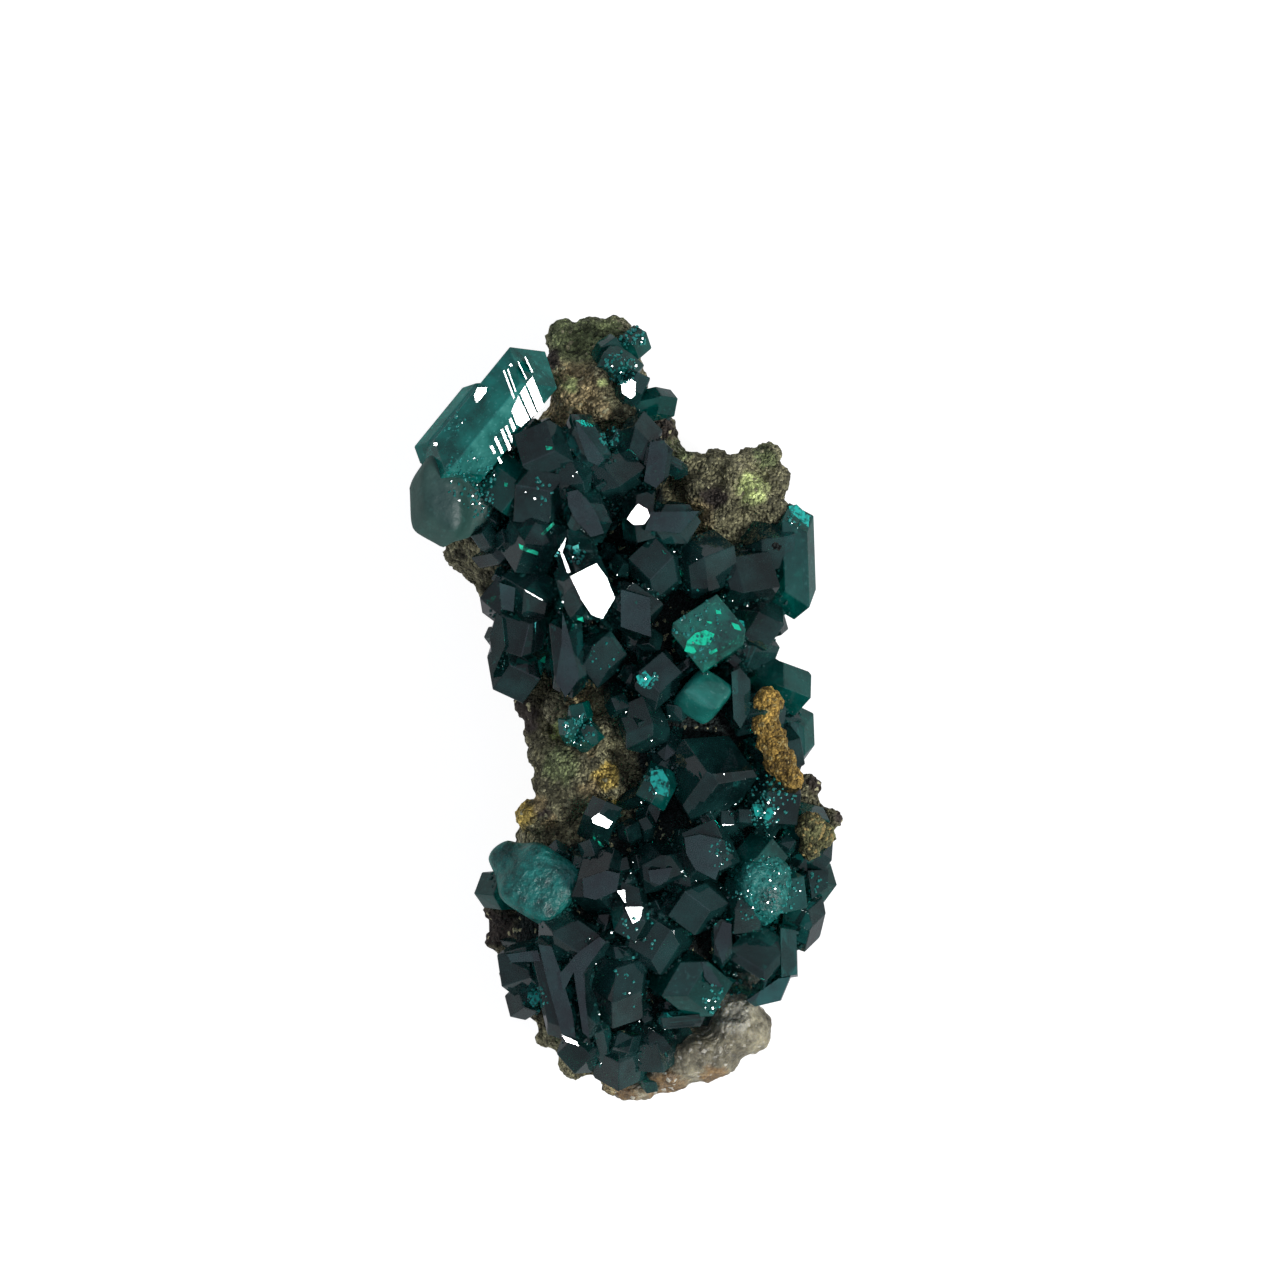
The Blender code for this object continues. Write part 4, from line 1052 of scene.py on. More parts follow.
crystal_pieces = [deep, teal, great, frosted, broad, milky, green]
crystals_together = surface_of(crystal_pieces)
faces = []
tilt = random.Random(GREY_SEED)
for corners in GREY_FACES:
    across = tilt.uniform(-GREY_TILT, GREY_TILT)
    along = tilt.uniform(-GREY_TILT, GREY_TILT)
    leaned = Vector((across, along, 1)).normalized()
    faces.append(measured_face(corners, leaned, crystals_together))
for corners, (across, along) in PALE_FACES:
    leaned = Vector((PALE_LEAN * across, PALE_LEAN * along, 1)).normalized()
    faces.append(measured_face(corners, leaned, crystals_together, lift=0.0))
crystals_together = surface_of(crystal_pieces + faces)
faces += [measured_face(corners, GLINT, crystals_together) for corners in WHITE_FACES]
faces += [measured_face(corners, GLINT, crystals_together, lift=HOOK_LIFT) for corners in HOOK_FACES]
deep = fuse([deep] + faces, "deep_crystals")
print(len(faces), "measured faces")

# %% [markdown]
# The great prism is striped: growth stopped and started again along its lower side, and left thin ledges.
# Their tops mirror the soft box, so they flash white in bars, with teal crystal between them.

# %% Growth ledges of the great prism
LEDGE_LIFT = 0.012
LEDGE_DEPTH = 0.5
LEDGE_FLARE = 1.0
LEDGES = (
    ((533, 377.5), (545, 407), (538.5, 412.8), (526.8, 385)),
    ((525.5, 387), (537.2, 414), (531.5, 419), (520.6, 394.5)),
    ((519.2, 397), (530.2, 420.2), (521.5, 428), (517, 425), (512, 412)),
    ((497, 437), (504.5, 453.5), (502, 455), (495, 440)),
    ((493, 446), (496.5, 453.5), (494.5, 455), (490.5, 447.5)),
    ((503.5, 429.6), (512, 449), (509.5, 452), (501, 431)),
    ((507.5, 426), (514.5, 443), (513, 446), (505.5, 428)),
    ((512.5, 434.4), (518, 444), (516, 448), (510.5, 436)),
    ((511.6, 418.5), (516.5, 429), (514, 433), (509.5, 421)),
    ((505.3, 371.5), (515.6, 399), (514.2, 400.5), (504, 372.8)),
    ((509, 370.5), (516.8, 392), (516, 393.5), (508, 371.3)),
    ((519.3, 363), (527.5, 380), (526.7, 381.2), (518.5, 363.7)),
    ((526, 357.5), (533.4, 372.6), (532.4, 374), (525.2, 358.2)),
    ((499.5, 457), (503, 463), (501, 465), (498, 459)),
)
OUTER_CORNERS = (
    ((475, 397), (478, 389), (488, 388.5), (487, 393), (481, 401), (477, 404)),
    ((434.5, 444.5), (437, 443), (439, 445), (437.5, 447), (435, 446.5)),
    ((509.5, 366), (511.5, 364.5), (513.5, 366.5), (511.5, 368)),
)
prism_surface = surface_of([great])
ledges = [
    measured_face(corners, GLINT, prism_surface, LEDGE_LIFT, LEDGE_DEPTH, LEDGE_FLARE)
    for corners in LEDGES + OUTER_CORNERS
]
great = fuse([great] + ledges, "great_prism")
print(len(ledges), "ledges")

# %% [markdown]
# ## Sparkle
# In the hollows between the crystals sit crumbs: crystals about a tenth of a millimetre across. One is
# modelled, and the others are copies of it. They go where the surface lies lower than most of what is round
# it, and far more densely where the picture shows a sparkling druse. A share of them turns its flat end to
# GLINT, to flash white.

# %% Crumbs
CRUMB_SEED = 23
CRUMB_SIZE = (0.035, 0.095)
CRUMB_LENGTH = 2.6
CRUMB_RIM = 0.15
CRUMB_ROOT = 0.7
CREVICE_DEPTH = 0.15
CREVICE_REACH = 0.45
CREVICE_CRUMBS = 1500
CREVICE_ACROSS = (-10, 10)
CREVICE_ALONG = (-18.5, 18)
CREVICE_LOOKS = 6
CREVICE_HIGHER = 4
CRUMB_SINK = 0.4
DOT_SINK = 0.5
FLAT_END = 0.9
DRUSE_SPARKLE = 0.04
CREVICE_SPARKLE = 0.02
DOT_SHARE = 0.52
DRUSE_SPOTS = (
    # middle in pixels, radius in pixels, number of crumbs
    ((632, 335), 14, 60), ((620, 368), 17, 80), ((609, 438), 10, 30), ((470, 478), 26, 90),
    ((480, 503), 16, 40), ((455, 425), 12, 16), ((578, 730), 16, 60), ((762, 888), 36, 150),
    ((658, 780), 14, 40), ((764, 812), 16, 60), ((722, 852), 14, 24), ((690, 612), 30, 36),
    ((700, 640), 24, 30), ((800, 518), 12, 24), ((648, 678), 10, 24), ((576, 553), 12, 24),
    ((722, 1000), 20, 50), ((640, 930), 22, 18), ((633, 985), 30, 14), ((536, 1000), 14, 20),
    ((770, 795), 26, 80), ((812, 885), 14, 16), ((540, 492), 14, 14), ((610, 655), 20, 12),
)
WHITE_DOTS = (
    # middle and radius in pixels
    (651, 740, 2.4), (676, 733, 2.0), (659, 809, 2.6), (641, 802, 2.0), (633, 861, 2.2), (645, 678, 2.8),
    (723, 773, 2.0), (460, 501, 2.4), (473, 504.6, 1.8), (490, 504.6, 1.8), (535, 499, 3.0), (526, 493, 2.0),
    (577, 473, 2.0), (573, 477, 1.6), (627, 671, 1.8), (563, 602, 2.6), (557, 580, 2.4), (617, 575, 1.8),
    (566, 724, 2.4), (580, 716, 2.6), (574, 742, 2.2), (587, 722, 2.0), (764, 812, 2.4), (752, 906, 2.6),
    (778, 872, 2.2), (741, 870, 2.2), (766, 900, 2.2), (642, 338, 2.6), (634, 330, 2.4), (628, 372, 2.2),
    (608, 441, 2.2), (648, 589, 2.0), (696, 560, 1.6), (724, 597, 2.0), (669, 1012, 1.8), (629, 991, 2.2),
)


def crumb_copy(seed_crumb, place, axis, size):
    """A copy of the crumb at a place in millimetres, its end turned along an axis."""
    copy = seed_crumb.copy()
    copy.data = seed_crumb.data.copy()
    scene.collection.objects.link(copy)
    turn = axis.to_track_quat("Z", "Y").to_matrix().to_4x4()
    copy.data.transform(Matrix.Translation(place * MM) @ turn @ Matrix.Scale(size, 4))
    return copy


def in_a_crevice(surface, x, y, height):
    """Whether the surface round a place mostly stands higher than the place."""
    higher = 0
    for step in range(CREVICE_LOOKS):
        turn = math.radians(360 / CREVICE_LOOKS * step)
        near, _ = look_down(surface, x + CREVICE_REACH * math.cos(turn), y + CREVICE_REACH * math.sin(turn))
        higher += near is not None and near.z > height + CREVICE_DEPTH
    return higher >= CREVICE_HIGHER


def crevice_places(surface, rng):
    """Place and normal of each crumb in the crevices."""
    found = []
    while len(found) < CREVICE_CRUMBS:
        x = rng.uniform(*CREVICE_ACROSS)
        y = rng.uniform(*CREVICE_ALONG)
        place, normal = look_down(surface, x, y)
        if place is not None and edge_distance(x, y) > 0 and in_a_crevice(surface, x, y, place.z):
            found.append((place, normal))
    return found


def druse_places(surface, rng):
    """Place and normal of each crumb in the druses."""
    found = []
    for (px, py), spread, count in DRUSE_SPOTS:
        for _ in range(count):
            reach = spread * math.sqrt(rng.random())
            turn = rng.uniform(0, 2 * math.pi)
            spot = from_picture(px + reach * math.cos(turn), py + reach * math.sin(turn))
            place, normal = look_down(surface, *spot)
            if place is not None:
                found.append((place, normal))
    return found


def sprinkle(seed_crumb, places, sparkle, rng, name):
    """Copies of the crumb at these places, a share of them turned to flash."""
    crumbs = []
    for place, normal in places:
        size = rng.uniform(*CRUMB_SIZE)
        wild = Vector((rng.uniform(-1, 1), rng.uniform(-1, 1), rng.uniform(-1, 1)))
        axis = GLINT if rng.random() < sparkle else (normal + wild).normalized()
        crumbs.append(crumb_copy(seed_crumb, place - CRUMB_SINK * size * normal, axis, size))
    return join(crumbs, name)


def select_end(thing, way):
    """Select, in edit mode, only the flat end that looks up, for a way of 1, or down, for -1."""
    bpy.ops.mesh.select_all(action="DESELECT")
    bpy.ops.object.mode_set(mode="OBJECT")
    for polygon in thing.data.polygons:
        polygon.select = way * polygon.normal.z > FLAT_END
    bpy.ops.object.mode_set(mode="EDIT")


deselect()
bpy.ops.mesh.primitive_cylinder_add(vertices=PRISM_SIDES, radius=MM, depth=CRUMB_LENGTH * MM)
seed_crumb = bpy.context.object
bpy.ops.object.mode_set(mode="EDIT")
bpy.ops.mesh.select_mode(type="FACE")
select_end(seed_crumb, 1)
bpy.ops.mesh.inset(thickness=CRUMB_RIM * MM, depth=CRUMB_RIM * MM)
select_end(seed_crumb, -1)
bpy.ops.transform.resize(value=(CRUMB_ROOT, CRUMB_ROOT, 1), center_override=(0, 0, 0))
bpy.ops.object.mode_set(mode="OBJECT")
rng = random.Random(CRUMB_SEED)
crystal_pieces = [deep, teal, great, frosted, broad, milky, green, druse]
crystals_together = surface_of(crystal_pieces)
crumbs = sprinkle(seed_crumb, crevice_places(crystals_together, rng), CREVICE_SPARKLE, rng, "crumbs")
sparkles = sprinkle(seed_crumb, druse_places(crystals_together, rng), DRUSE_SPARKLE, rng, "sparkles")
dots = []
for px, py, radius in WHITE_DOTS:
    place, normal = look_down(crystals_together, *from_picture(px, py))
    if place is not None:
        size = DOT_SHARE * PIXEL * radius
        dots.append(crumb_copy(seed_crumb, place - DOT_SINK * size * GLINT, GLINT, size))
crumbs = join([crumbs] + dots, "crumbs")
bpy.data.objects.remove(seed_crumb)
print(len(crumbs.data.polygons) + len(sparkles.data.polygons), "faces of crumbs")

# %% [markdown]
# ## Green cracks with painted glints
# Here and there a crack runs out through a face and throws light back before it has lost its green. The
# cracks are thin plates that just break the skin, with the pure green that dioptase has when it is thin.
# That bright green is a painted glint: it stands in for the light a crack throws back.

# %% Green cracks
CRACK_RISE = 0.012
CRACK_THICKNESS = 0.06
CRACK_LEAN = 0.6
CRACK_LEAST_RISE = 0.3
GREEN_GLINT_CRACKS = (
    ((519.5, 544.5), (539, 552.5), (538.5, 556), (521, 550)),
    ((553.5, 522.5), (555, 525), (543.5, 536.5), (541, 534.5)),
    ((678, 568.5), (680, 568), (683, 575.5), (681, 576.5)),
    ((576, 614), (583, 617), (584, 622), (578, 620)),
    ((505, 483), (509, 484), (509, 488), (505, 487)),
    ((546, 447), (553, 448), (553, 451), (547, 451)),
    ((596, 838), (600, 841), (604, 846), (600, 847)),
    ((592, 835), (596, 837), (595, 840)),
    ((535, 1000), (538, 1002), (537, 1007), (534, 1006)),
    ((684, 651), (687, 641), (695, 633), (705, 630), (714, 634), (710, 643), (702, 646), (693, 654)),
    ((672, 640), (677, 638), (676, 642), (672, 643)),
    ((730, 622), (738, 625), (741, 631), (734, 629)),
    ((708, 652), (716, 648), (717, 651), (710, 655)),
    ((715, 610), (720, 611), (721, 614), (716, 614)),
    ((706, 621), (712, 622), (711, 624), (707, 623)),
    ((540, 655), (546, 653), (545, 663), (538, 661)),
)
TEAL_GLINT_CRACKS = (
    ((739, 620), (747, 622), (745, 627), (740, 625)),
    ((651, 770), (662, 768), (669, 780), (668, 796), (657, 792), (650, 781)),
    ((752, 804), (765, 803), (774, 812), (768, 820), (755, 815)),
    ((789, 506), (797, 504), (810, 516), (808, 533), (796, 528), (791, 517)),
    ((636, 676), (645, 671), (652, 678), (647, 686), (639, 684)),
    ((573, 547), (579, 545), (580, 556), (574, 558)),
    ((528, 988), (538, 986), (540, 1000), (533, 1008), (527, 1000)),
)


def crack(corners, surface):
    """A thin plate that breaks a crystal's skin, lying along the face at its middle."""
    outline = outline_of(corners)
    middle = sum(outline, Vector((0, 0))) / len(outline)
    place, normal = look_down(surface, middle.x, middle.y)
    rise = max(normal.z, CRACK_LEAST_RISE)
    normal = Vector((CRACK_LEAN * normal.x, CRACK_LEAN * normal.y, rise)).normalized()
    return plate(outline, normal, normal.dot(place) + CRACK_RISE, CRACK_THICKNESS)


cracks_with_green_painted_glint = join([crack(corners, crystals_together) for corners in GREEN_GLINT_CRACKS], "cracks_with_green_painted_glint")
cracks_with_teal_painted_glint = join([crack(corners, crystals_together) for corners in TEAL_GLINT_CRACKS], "cracks_with_teal_painted_glint")
print(len(GREEN_GLINT_CRACKS) + len(TEAL_GLINT_CRACKS), "cracks")

# %% [markdown]
# A crack isn't one flat colour either: its painted glint is bright in specks, and it is dark where its two
# sides still touch.

# %% Crack material
CRACK_ROUGHNESS = 0.5


def painted_glint_crack_material(name, painted_glint_colour, dim):
    """Specks of a bright green, a painted glint, on a dim green, half matt."""
    material = plain_material(name, painted_glint_colour, CRACK_ROUGHNESS)
    tree = material.node_tree
    place = add_node(tree, "TexCoord")
    specks = add_node(tree, "TexNoise", Scale=4200.0, Detail=3.0)
    contrast = add_node(tree, "MapRange", From_Min=0.36, From_Max=0.52)
    mix = add_node(tree, "Mix", data_type="RGBA", A=(*dim, 1), B=(*painted_glint_colour, 1))
    tree.links.new(place.outputs["Object"], specks.inputs["Vector"])
    tree.links.new(specks.outputs["Fac"], contrast.inputs["Value"])
    tree.links.new(contrast.outputs[0], mix.inputs["Factor"])
    tree.links.new(mix.outputs["Result"], tree.nodes["Principled BSDF"].inputs["Base Color"])
    return material


# %% [markdown]
# Now every crystal piece gets its material and its place. Each stands for the crust of the solid model,
# except the tuft at the waist, which is a node of its own there.

# %% Dress the crystals
# The bright greens of the cracks are painted glints, standing in for light the cracks throw back.
GREEN_PAINTED_GLINT = painted_glint_crack_material("green_painted_glint", (0.0, 0.80, 0.45), (0.0, 0.20, 0.13))
TEAL_PAINTED_GLINT = painted_glint_crack_material("teal_painted_glint", (0.02, 0.62, 0.52), (0.0, 0.07, 0.065))
for thing, material in (
    (deep, DARK_GEM), (teal, TEAL_GEM), (great, GREAT_GEM), (frosted, FROSTED_GEM), (broad, BROAD_GEM),
    (milky, MILKY_GEM), (green, EMERALD_GEM), (crumbs, CRUMB_GEM), (sparkles, SPARKLE_GEM),
    (cracks_with_green_painted_glint, GREEN_PAINTED_GLINT), (cracks_with_teal_painted_glint, TEAL_PAINTED_GLINT),
):
    dress(thing, material)
    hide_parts("dioptase_crust")
dress(druse, TEAL_GEM)
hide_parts("dioptase_waist_druse")

# %% [markdown]
# ## The rock
# The lumps are added as balls, melted together, and roughened twice: first the knobbly relief that the
# solid has too, then a finer grain that only the picture needs.

# %% Rock mesh
ROCK_VOXEL = 0.17
ROCK_RELIEF = 0.42
ROCK_GRAIN = 1.6
BROKEN_BELOW = 6.5
BROKEN_GAIN = 2.2
FINE_RELIEF = 0.2
FINE_GRAIN = 0.42
DUST_GRAIN = 0.2
DUST_SHARE = 0.5
RELIEF_MIDDLE = 0.4
ROCK_SWELL = 0.12
WAVE_GRAINS = 2.5
CELL_SHARE = 0.7
WAVE_SHARE = 0.5
BALL_SUBDIVISIONS = 4
CUT_THRESHOLD = 0.001


def balls(lumps, name):
    """Balls at the lumps' places, joined but not yet melted together."""
    made = []
    for lump in lumps:
        deselect()
        size = (lump.rx, lump.ry, lump.rz)
        middle = Vector((lump.x, lump.y, lump.z)) * MM
        bpy.ops.mesh.primitive_ico_sphere_add(
            subdivisions=BALL_SUBDIVISIONS, radius=MM, location=middle, scale=size
        )
        made.append(bpy.context.object)
    joined = join(made, name)
    settle(joined)
    return joined


def press_in(thing, depth_at):
    """Push each vertex in along its normal, by the millimetres that a function gives for its place."""
    normals = [vertex.normal.copy() for vertex in thing.data.vertices]
    for vertex, normal in zip(thing.data.vertices, normals):
        vertex.co -= normal * depth_at(vertex.co / MM) * MM
    thing.data.update()


def cells(place, grain):
    """Distance from a place to the nearest of many scattered points, counted in grains."""
    return noise.voronoi(place / grain)[0][0]


def knobs(place, relief, grain, gain=0.0):
    """Depth of a knobbly relief, deeper towards the broken back."""
    waves = 0.5 + 0.5 * noise.noise(place / (WAVE_GRAINS * grain))
    lowness = max(0.0, 1 - place.z / BROKEN_BELOW)
    return relief * (1 + gain * lowness) * min(1.0, CELL_SHARE * cells(place, grain) + WAVE_SHARE * waves)


def rock_depth(place):
    """The rock's relief: knobs, then grains, on a skin that is first swollen a little."""
    fine = cells(place, FINE_GRAIN) + DUST_SHARE * noise.noise(place / DUST_GRAIN)
    grains = FINE_RELIEF * (fine - RELIEF_MIDDLE)
    return knobs(place, ROCK_RELIEF, ROCK_GRAIN, BROKEN_GAIN) + grains - ROCK_SWELL


def cut_flat(thing):
    """Cut a piece off at the table."""
    pick(thing)
    bpy.ops.object.mode_set(mode="EDIT")
    bpy.ops.mesh.select_all(action="SELECT")
    bpy.ops.mesh.bisect(
        plane_co=(0, 0, 0), plane_no=(0, 0, -1), use_fill=True, clear_outer=True,
        threshold=CUT_THRESHOLD * MM,
    )
    bpy.ops.object.mode_set(mode="OBJECT")


round_lumps = [Lump(x, y, z, radius, radius, radius) for x, y, z, radius in NODULES]
rock = balls(list(BODY_LUMPS) + round_lumps, "rock")
melt(rock, ROCK_VOXEL)
press_in(rock, rock_depth)
cut_flat(rock)
print(len(rock.data.polygons), "faces of rock")

# %% [markdown]
# ## Earth colours
# The rock isn't one colour. Its minerals grow in patches: dark brown iron crust on the smooth nodules,
# olive and tan earth, and yellow-green grains in a few spots. The patches are stored in the mesh as a
# colour attribute, worked out for every vertex from a list of places, with noise to fray their edges. Its
# fourth value says how grainy the patch is. Under the crystals the rock is painted nearly black as painted
# shade, standing in for the little light that gets there, so that the gaps between them look deep. The
# shader then breaks the patches up into grains, because a mesh is too coarse for those.

# %% Patches on the rock
OLIVE = (0.340, 0.320, 0.175)
TAN = (0.480, 0.380, 0.190)
BROWN = (0.062, 0.048, 0.036)
MOSS = (0.270, 0.320, 0.140)
YELLOW_GREEN = (0.800, 0.920, 0.360)
GOLD = (0.850, 0.620, 0.150)
# Painted shade: the near-black colour that the rock is painted under the crystals, where shade falls.
UNDER_CRYSTAL_PAINTED_SHADE = (0.012, 0.022, 0.020)
ROCK_GRAININESS = 0.9
ROCK_PATCHES = (
    # middle and radius in pixels, colour, graininess
    (575, 335, 34, MOSS, 1.0), (608, 328, 20, MOSS, 1.0), (570, 397, 40, TAN, 1.0),
    (545, 360, 16, BROWN, 0.8), (570, 386, 9, YELLOW_GREEN, 0.5), (601, 384, 6, YELLOW_GREEN, 0.5),
    (603, 412, 12, TAN, 0.7), (663, 428, 18, BROWN, 0.6), (700, 462, 30, OLIVE, 1.0),
    (752, 490, 19, YELLOW_GREEN, 0.8), (766, 456, 15, MOSS, 1.0), (712, 498, 17, BROWN, 0.4),
    (690, 520, 26, TAN, 0.8), (748, 535, 24, OLIVE, 0.9), (774, 543, 8, TAN, 0.3),
    (680, 450, 16, MOSS, 1.0), (520, 715, 24, BROWN, 0.15), (500, 690, 20, BROWN, 0.2),
    (562, 730, 12, YELLOW_GREEN, 0.6), (578, 700, 14, TAN, 0.7), (560, 765, 22, MOSS, 0.9),
    (606, 776, 15, GOLD, 1.0), (518, 814, 20, GOLD, 0.8), (543, 813, 10, BROWN, 0.3),
    (590, 790, 12, TAN, 1.0), (632, 815, 12, OLIVE, 1.0), (819, 783, 14, BROWN, 0.4),
    (844, 818, 14, BROWN, 0.3), (540, 802, 9, TAN, 0.8), (550, 823, 8, TAN, 0.8), (615, 808, 9, GOLD, 0.8),
    (590, 745, 12, TAN, 0.9), (494, 930, 26, BROWN, 0.4), (512, 985, 30, BROWN, 0.5),
    (555, 1055, 34, OLIVE, 0.6), (610, 1103, 26, TAN, 0.5),
)
PATCH_LOWEST = 4.6
PATCH_BLEND = 0.35
FRAY = 6.0
FRAY_GRAIN = 0.5
GROUND_SHADE = 0.85
GROUND_SWING = 0.5
GROUND_GRAIN = 2.2
PAINTED_SHADE_LOWEST = 6.0
PAINTED_SHADE_INSET = 0.5
PAINTED_SHADE_BLEND = 0.3
PAINTED_SHADE_FRAY = 0.4
PAINTED_SHADE_FRAY_GRAIN = 0.8


def paint_patches(thing, ground, graininess, patches, paint_shade_under_crystals=False):
    """Store the patches' colours, and how grainy they are, in the mesh, over a ground colour, with painted
    shade under the crystals if asked.
    """
    tint = thing.data.color_attributes.new("tint", "FLOAT_COLOR", "POINT")
    spots = [(Vector(from_picture(px, py)), *look) for px, py, *look in patches]
    for vertex, value in zip(thing.data.vertices, tint.data):
        place = vertex.co / MM
        mix = Vector((*ground, graininess))
        mix.xyz *= GROUND_SHADE + GROUND_SWING * noise.noise(place / GROUND_GRAIN)
        wobble = FRAY * noise.noise(place / FRAY_GRAIN)
        for middle, radius, colour, grain in spots:
            apart = (place.xy - middle).length / PIXEL + wobble
            share = limited((radius - apart) / (PATCH_BLEND * radius))
            if share > 0 and place.z + wobble * PIXEL > PATCH_LOWEST:
                mix = mix.lerp(Vector((*colour, grain)), share)
        # Painted shade: inside the crust's edge the colour is pulled towards near black, as if little light
        # got under the crystals.
        if paint_shade_under_crystals and place.z + wobble * PIXEL > PAINTED_SHADE_LOWEST:
            frayed = PAINTED_SHADE_FRAY * noise.noise(place / PAINTED_SHADE_FRAY_GRAIN)
            inside = edge_distance(place.x, place.y) - PAINTED_SHADE_INSET + frayed
            mix = mix.lerp(Vector((*UNDER_CRYSTAL_PAINTED_SHADE, graininess)), limited(inside / PAINTED_SHADE_BLEND))
        value.color = mix


def grain_group():
    """Node group: earth made of grains, each with its own brightness, with bright flecks among them."""
    colours = {"Earth": (0.1, 0.08, 0.04, 1), "Fleck": (0.5, 0.4, 0.15, 1)}
    numbers = {"Graininess": 1.0, "Scale": 3600.0, "Fleck Amount": 0.06}
    outputs = {"Color": "NodeSocketColor", "Height": "NodeSocketFloat"}
    group, given, result = new_group("Grains", colours | numbers, outputs)
    links = group.links
    place = add_node(group, "TexCoord")
    grains = add_node(group, "TexVoronoi")
    patchy = add_node(group, "TexNoise", Scale=1250.0, Detail=6.0, Roughness=0.7)
    lots = add_node(group, "SeparateColor")
    spread = add_node(group, "MapRange", To_Min=-0.62, To_Max=0.75)
    worn = add_node(group, "MapRange", From_Min=0.3, From_Max=0.7, To_Min=0.25, To_Max=1.75)
    grainy = add_node(group, "Math", operation="MULTIPLY_ADD")
    grainy.inputs[2].default_value = 1.0
    shade = add_node(group, "Math", operation="MULTIPLY")
    earth = add_node(group, "VectorMath", operation="SCALE")
    rare = add_node(group, "Math", operation="LESS_THAN")
    flecked = add_node(group, "Mix", data_type="RGBA")
    height = add_node(group, "Math", operation="MULTIPLY_ADD")
    height.inputs[1].default_value = -1.0
    raised = add_node(group, "Math", operation="MULTIPLY")
    for target in (grains, patchy):
        links.new(place.outputs["Object"], target.inputs["Vector"])
    links.new(given.outputs["Scale"], grains.inputs["Scale"])
    links.new(grains.outputs["Color"], lots.inputs["Color"])
    links.new(lots.outputs["Red"], spread.inputs["Value"])
    links.new(patchy.outputs["Fac"], worn.inputs["Value"])
    links.new(spread.outputs[0], grainy.inputs[0])
    links.new(given.outputs["Graininess"], grainy.inputs[1])
    links.new(grainy.outputs[0], shade.inputs[0])
    links.new(worn.outputs[0], shade.inputs[1])
    links.new(given.outputs["Earth"], earth.inputs[0])
    links.new(shade.outputs[0], earth.inputs["Scale"])
    links.new(lots.outputs["Green"], rare.inputs[0])
    links.new(given.outputs["Fleck Amount"], rare.inputs[1])
    links.new(rare.outputs[0], flecked.inputs["Factor"])
    links.new(earth.outputs[0], flecked.inputs["A"])
    links.new(given.outputs["Fleck"], flecked.inputs["B"])
    links.new(grains.outputs["Distance"], height.inputs[0])
    links.new(patchy.outputs["Fac"], height.inputs[2])
    links.new(height.outputs[0], raised.inputs[0])
    links.new(given.outputs["Graininess"], raised.inputs[1])
    links.new(flecked.outputs["Result"], result.inputs["Color"])
    links.new(raised.outputs[0], result.inputs["Height"])
    return group


GRAINS = grain_group()


def earth_material(name, roughness, relief, **grains):
    """A grainy material in the colours of the mesh's own patches."""
    material = plain_material(name, OLIVE, roughness)
    tree = material.node_tree
    shader = tree.nodes["Principled BSDF"]
    grain = add_node(tree, "Group", node_tree=GRAINS, **grains)
    patches = add_node(tree, "Attribute", attribute_name="tint")
    tree.links.new(patches.outputs["Color"], grain.inputs["Earth"])
    tree.links.new(patches.outputs["Alpha"], grain.inputs["Graininess"])
    bump = add_node(tree, "Bump", Distance=relief * MM)
    tree.links.new(grain.outputs["Height"], bump.inputs["Height"])
    tree.links.new(grain.outputs["Color"], shader.inputs["Base Color"])
    tree.links.new(bump.outputs["Normal"], shader.inputs["Normal"])
    return material


# The rock gets painted shade under the crystals as well as its coloured patches.
paint_patches(rock, OLIVE, ROCK_GRAININESS, ROCK_PATCHES, paint_shade_under_crystals=True)
ROCK_STONE = earth_material(
    "limonite_rock", roughness=0.7, relief=0.7,
    Scale=5400.0, Fleck=(0.66, 0.62, 0.36, 1), Fleck_Amount=0.05,
)
dress(rock, ROCK_STONE)
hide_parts("matrix")

# %% [markdown]
# ## Calcite and ochre
# The pale mass at the foot is granular calcite. It is made like the rock, from balls melted together. The
# grains let some light through, so a little subsurface scattering softens them.

# %% Calcite
CALCITE_VOXEL = 0.12
CALCITE_RELIEF = 0.4
CALCITE_GRAIN = 1.7
STEP_RELIEF = 0.22
BROAD_STEP = 0.9
NARROW_STEP = 0.4
NARROW_SHARE = 0.5
CALCITE_GRAININESS = 0.3
PALE_GREY = (0.290, 0.265, 0.180)
LIGHT_GREY = (0.44, 0.42, 0.33)
DULL_BROWN = (0.24, 0.20, 0.14)
WARM_BROWN = (0.230, 0.150, 0.070)
CALCITE_PATCHES = (
    # middle and radius in pixels, colour, graininess
    (730, 1010, 26, LIGHT_GREY, 0.5), (610, 1103, 34, WARM_BROWN, 0.5), (665, 1092, 24, WARM_BROWN, 0.4),
    (650, 1060, 20, DULL_BROWN, 0.5), (715, 1080, 16, WARM_BROWN, 0.4),
)
CALCITE_STONE = earth_material(
    "calcite", roughness=0.4, relief=0.15,
    Scale=5200.0, Fleck=(0.55, 0.52, 0.42, 1), Fleck_Amount=0.05,
)
calcite_shader = CALCITE_STONE.node_tree.nodes["Principled BSDF"]
calcite_shader.inputs["Subsurface Weight"].default_value = 0.4
calcite_shader.inputs["Subsurface Radius"].default_value = (1.0, 0.8, 0.5)
calcite_shader.inputs["Subsurface Scale"].default_value = 0.6 * MM


def calcite_depth(place):
    """Broad broken steps, then narrow ones."""
    steps = cells(place, BROAD_STEP) + NARROW_SHARE * cells(place, NARROW_STEP)
    return knobs(place, CALCITE_RELIEF, CALCITE_GRAIN) + STEP_RELIEF * (steps - RELIEF_MIDDLE)


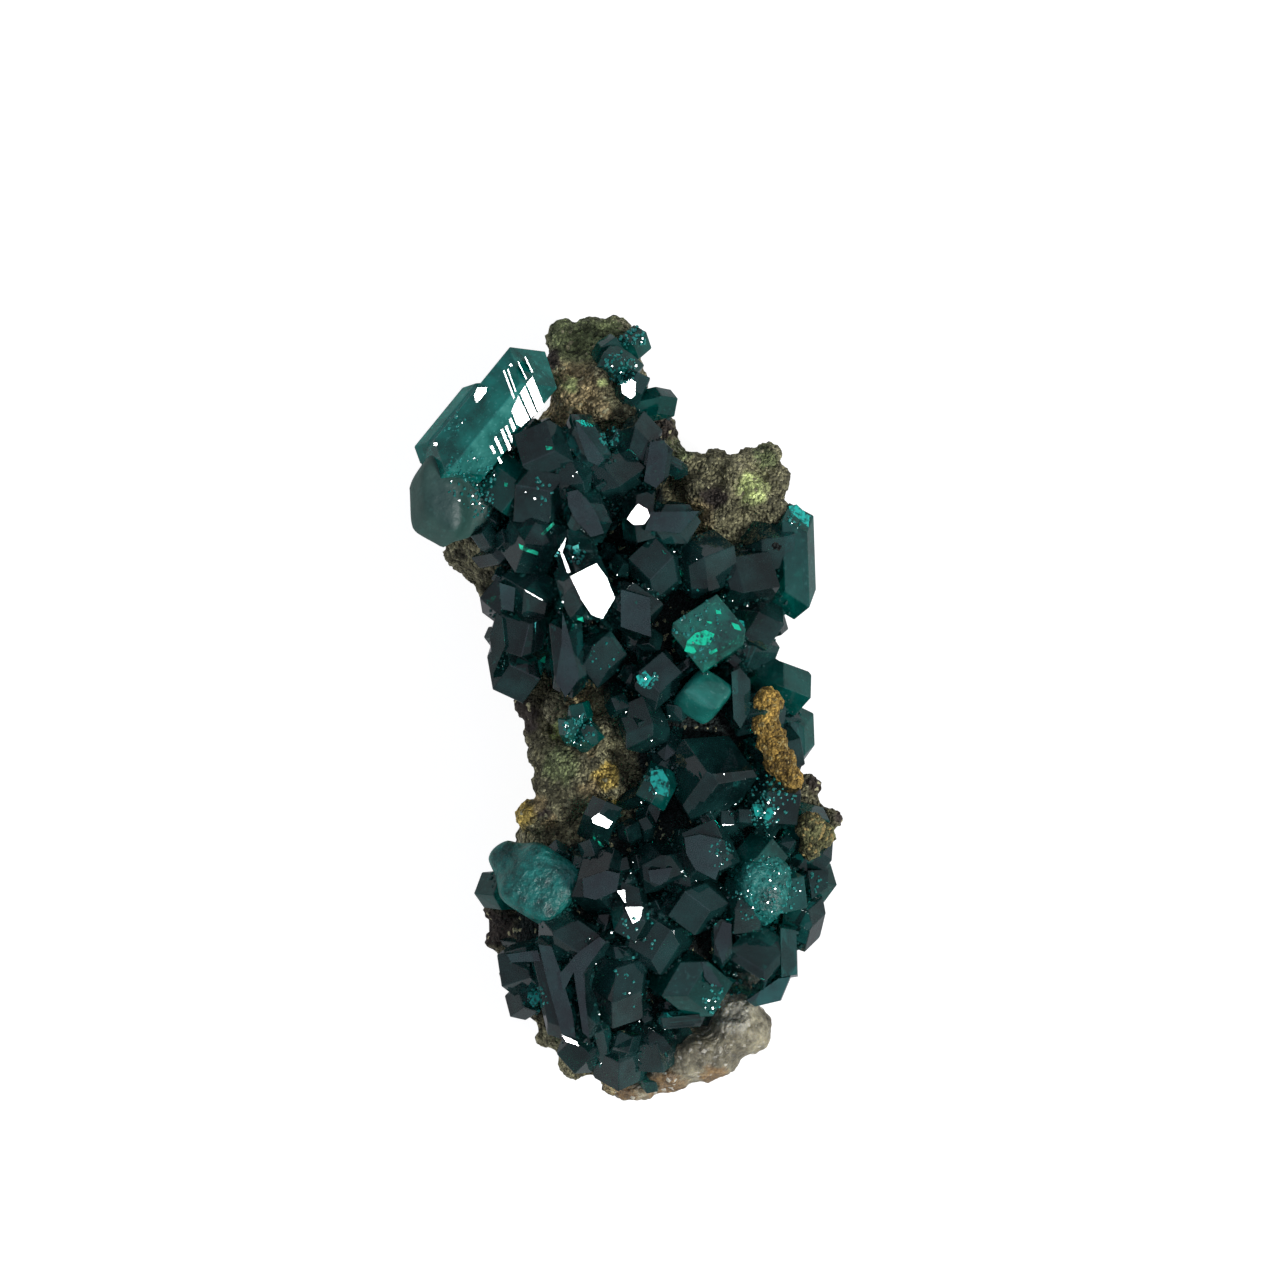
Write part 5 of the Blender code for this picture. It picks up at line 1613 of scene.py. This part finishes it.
calcite = balls(CALCITE_LUMPS, "calcite_mass")
melt(calcite, CALCITE_VOXEL)
press_in(calcite, calcite_depth)
cut_flat(calcite)
paint_patches(calcite, PALE_GREY, CALCITE_GRAININESS, CALCITE_PATCHES)
dress(calcite, CALCITE_STONE)
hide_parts("calcite")

# %% [markdown]
# The ochre is earth that has settled on the crystals at the right edge, dull and fine-grained. Each coat is
# a few flattened balls, melted together like the rock, with a crumbly relief.

# %% Ochre
OCHRE_VOXEL = 0.08
OCHRE_RELIEF = 0.2
OCHRE_GRAIN = 0.4
OCHRE_CRUMBLE = 0.12
OCHRE_CRUMB_SIZE = 0.25
OCHRE_GRAININESS = 1.0
OCHRE = (0.430, 0.270, 0.060)
OLIVE_OCHRE = (0.150, 0.150, 0.062)
OCHRE_PATCHES = ((816, 842, 60, OLIVE_OCHRE, 1.0),)
OCHRE_EARTH = earth_material(
    "ochre_earth", roughness=0.9, relief=0.3,
    Scale=6200.0, Fleck=(0.5, 0.38, 0.14, 1), Fleck_Amount=0.1,
)
OCHRE_COATS = {
    # place, radius and thickness of each ball, in millimetres
    "ochre_patch_upper": (
        (6.8, 0.5, 9.3, 0.90, 0.7), (6.7, -0.5, 9.4, 0.85, 0.6), (7.0, -1.4, 9.1, 0.90, 0.7),
        (7.4, -2.4, 8.8, 0.95, 0.8), (7.9, -3.3, 8.7, 0.80, 0.8),
    ),
    "ochre_patch_lower": (
        (8.9, -5.7, 7.9, 0.85, 0.8), (9.6, -6.1, 7.3, 0.75, 0.8), (8.9, -6.8, 7.7, 0.65, 0.8),
    ),
}


def ochre_depth(place):
    """Crumbly relief."""
    crumble = OCHRE_CRUMBLE * noise.noise(place / OCHRE_CRUMB_SIZE)
    return knobs(place, OCHRE_RELIEF, OCHRE_GRAIN) + crumble


for node, spots in OCHRE_COATS.items():
    coat = balls([Lump(x, y, z, radius, radius, thick) for x, y, z, radius, thick in spots], node + "_coat")
    melt(coat, OCHRE_VOXEL)
    press_in(coat, ochre_depth)
    paint_patches(coat, OCHRE, OCHRE_GRAININESS, OCHRE_PATCHES)
    dress(coat, OCHRE_EARTH)
    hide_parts(node)
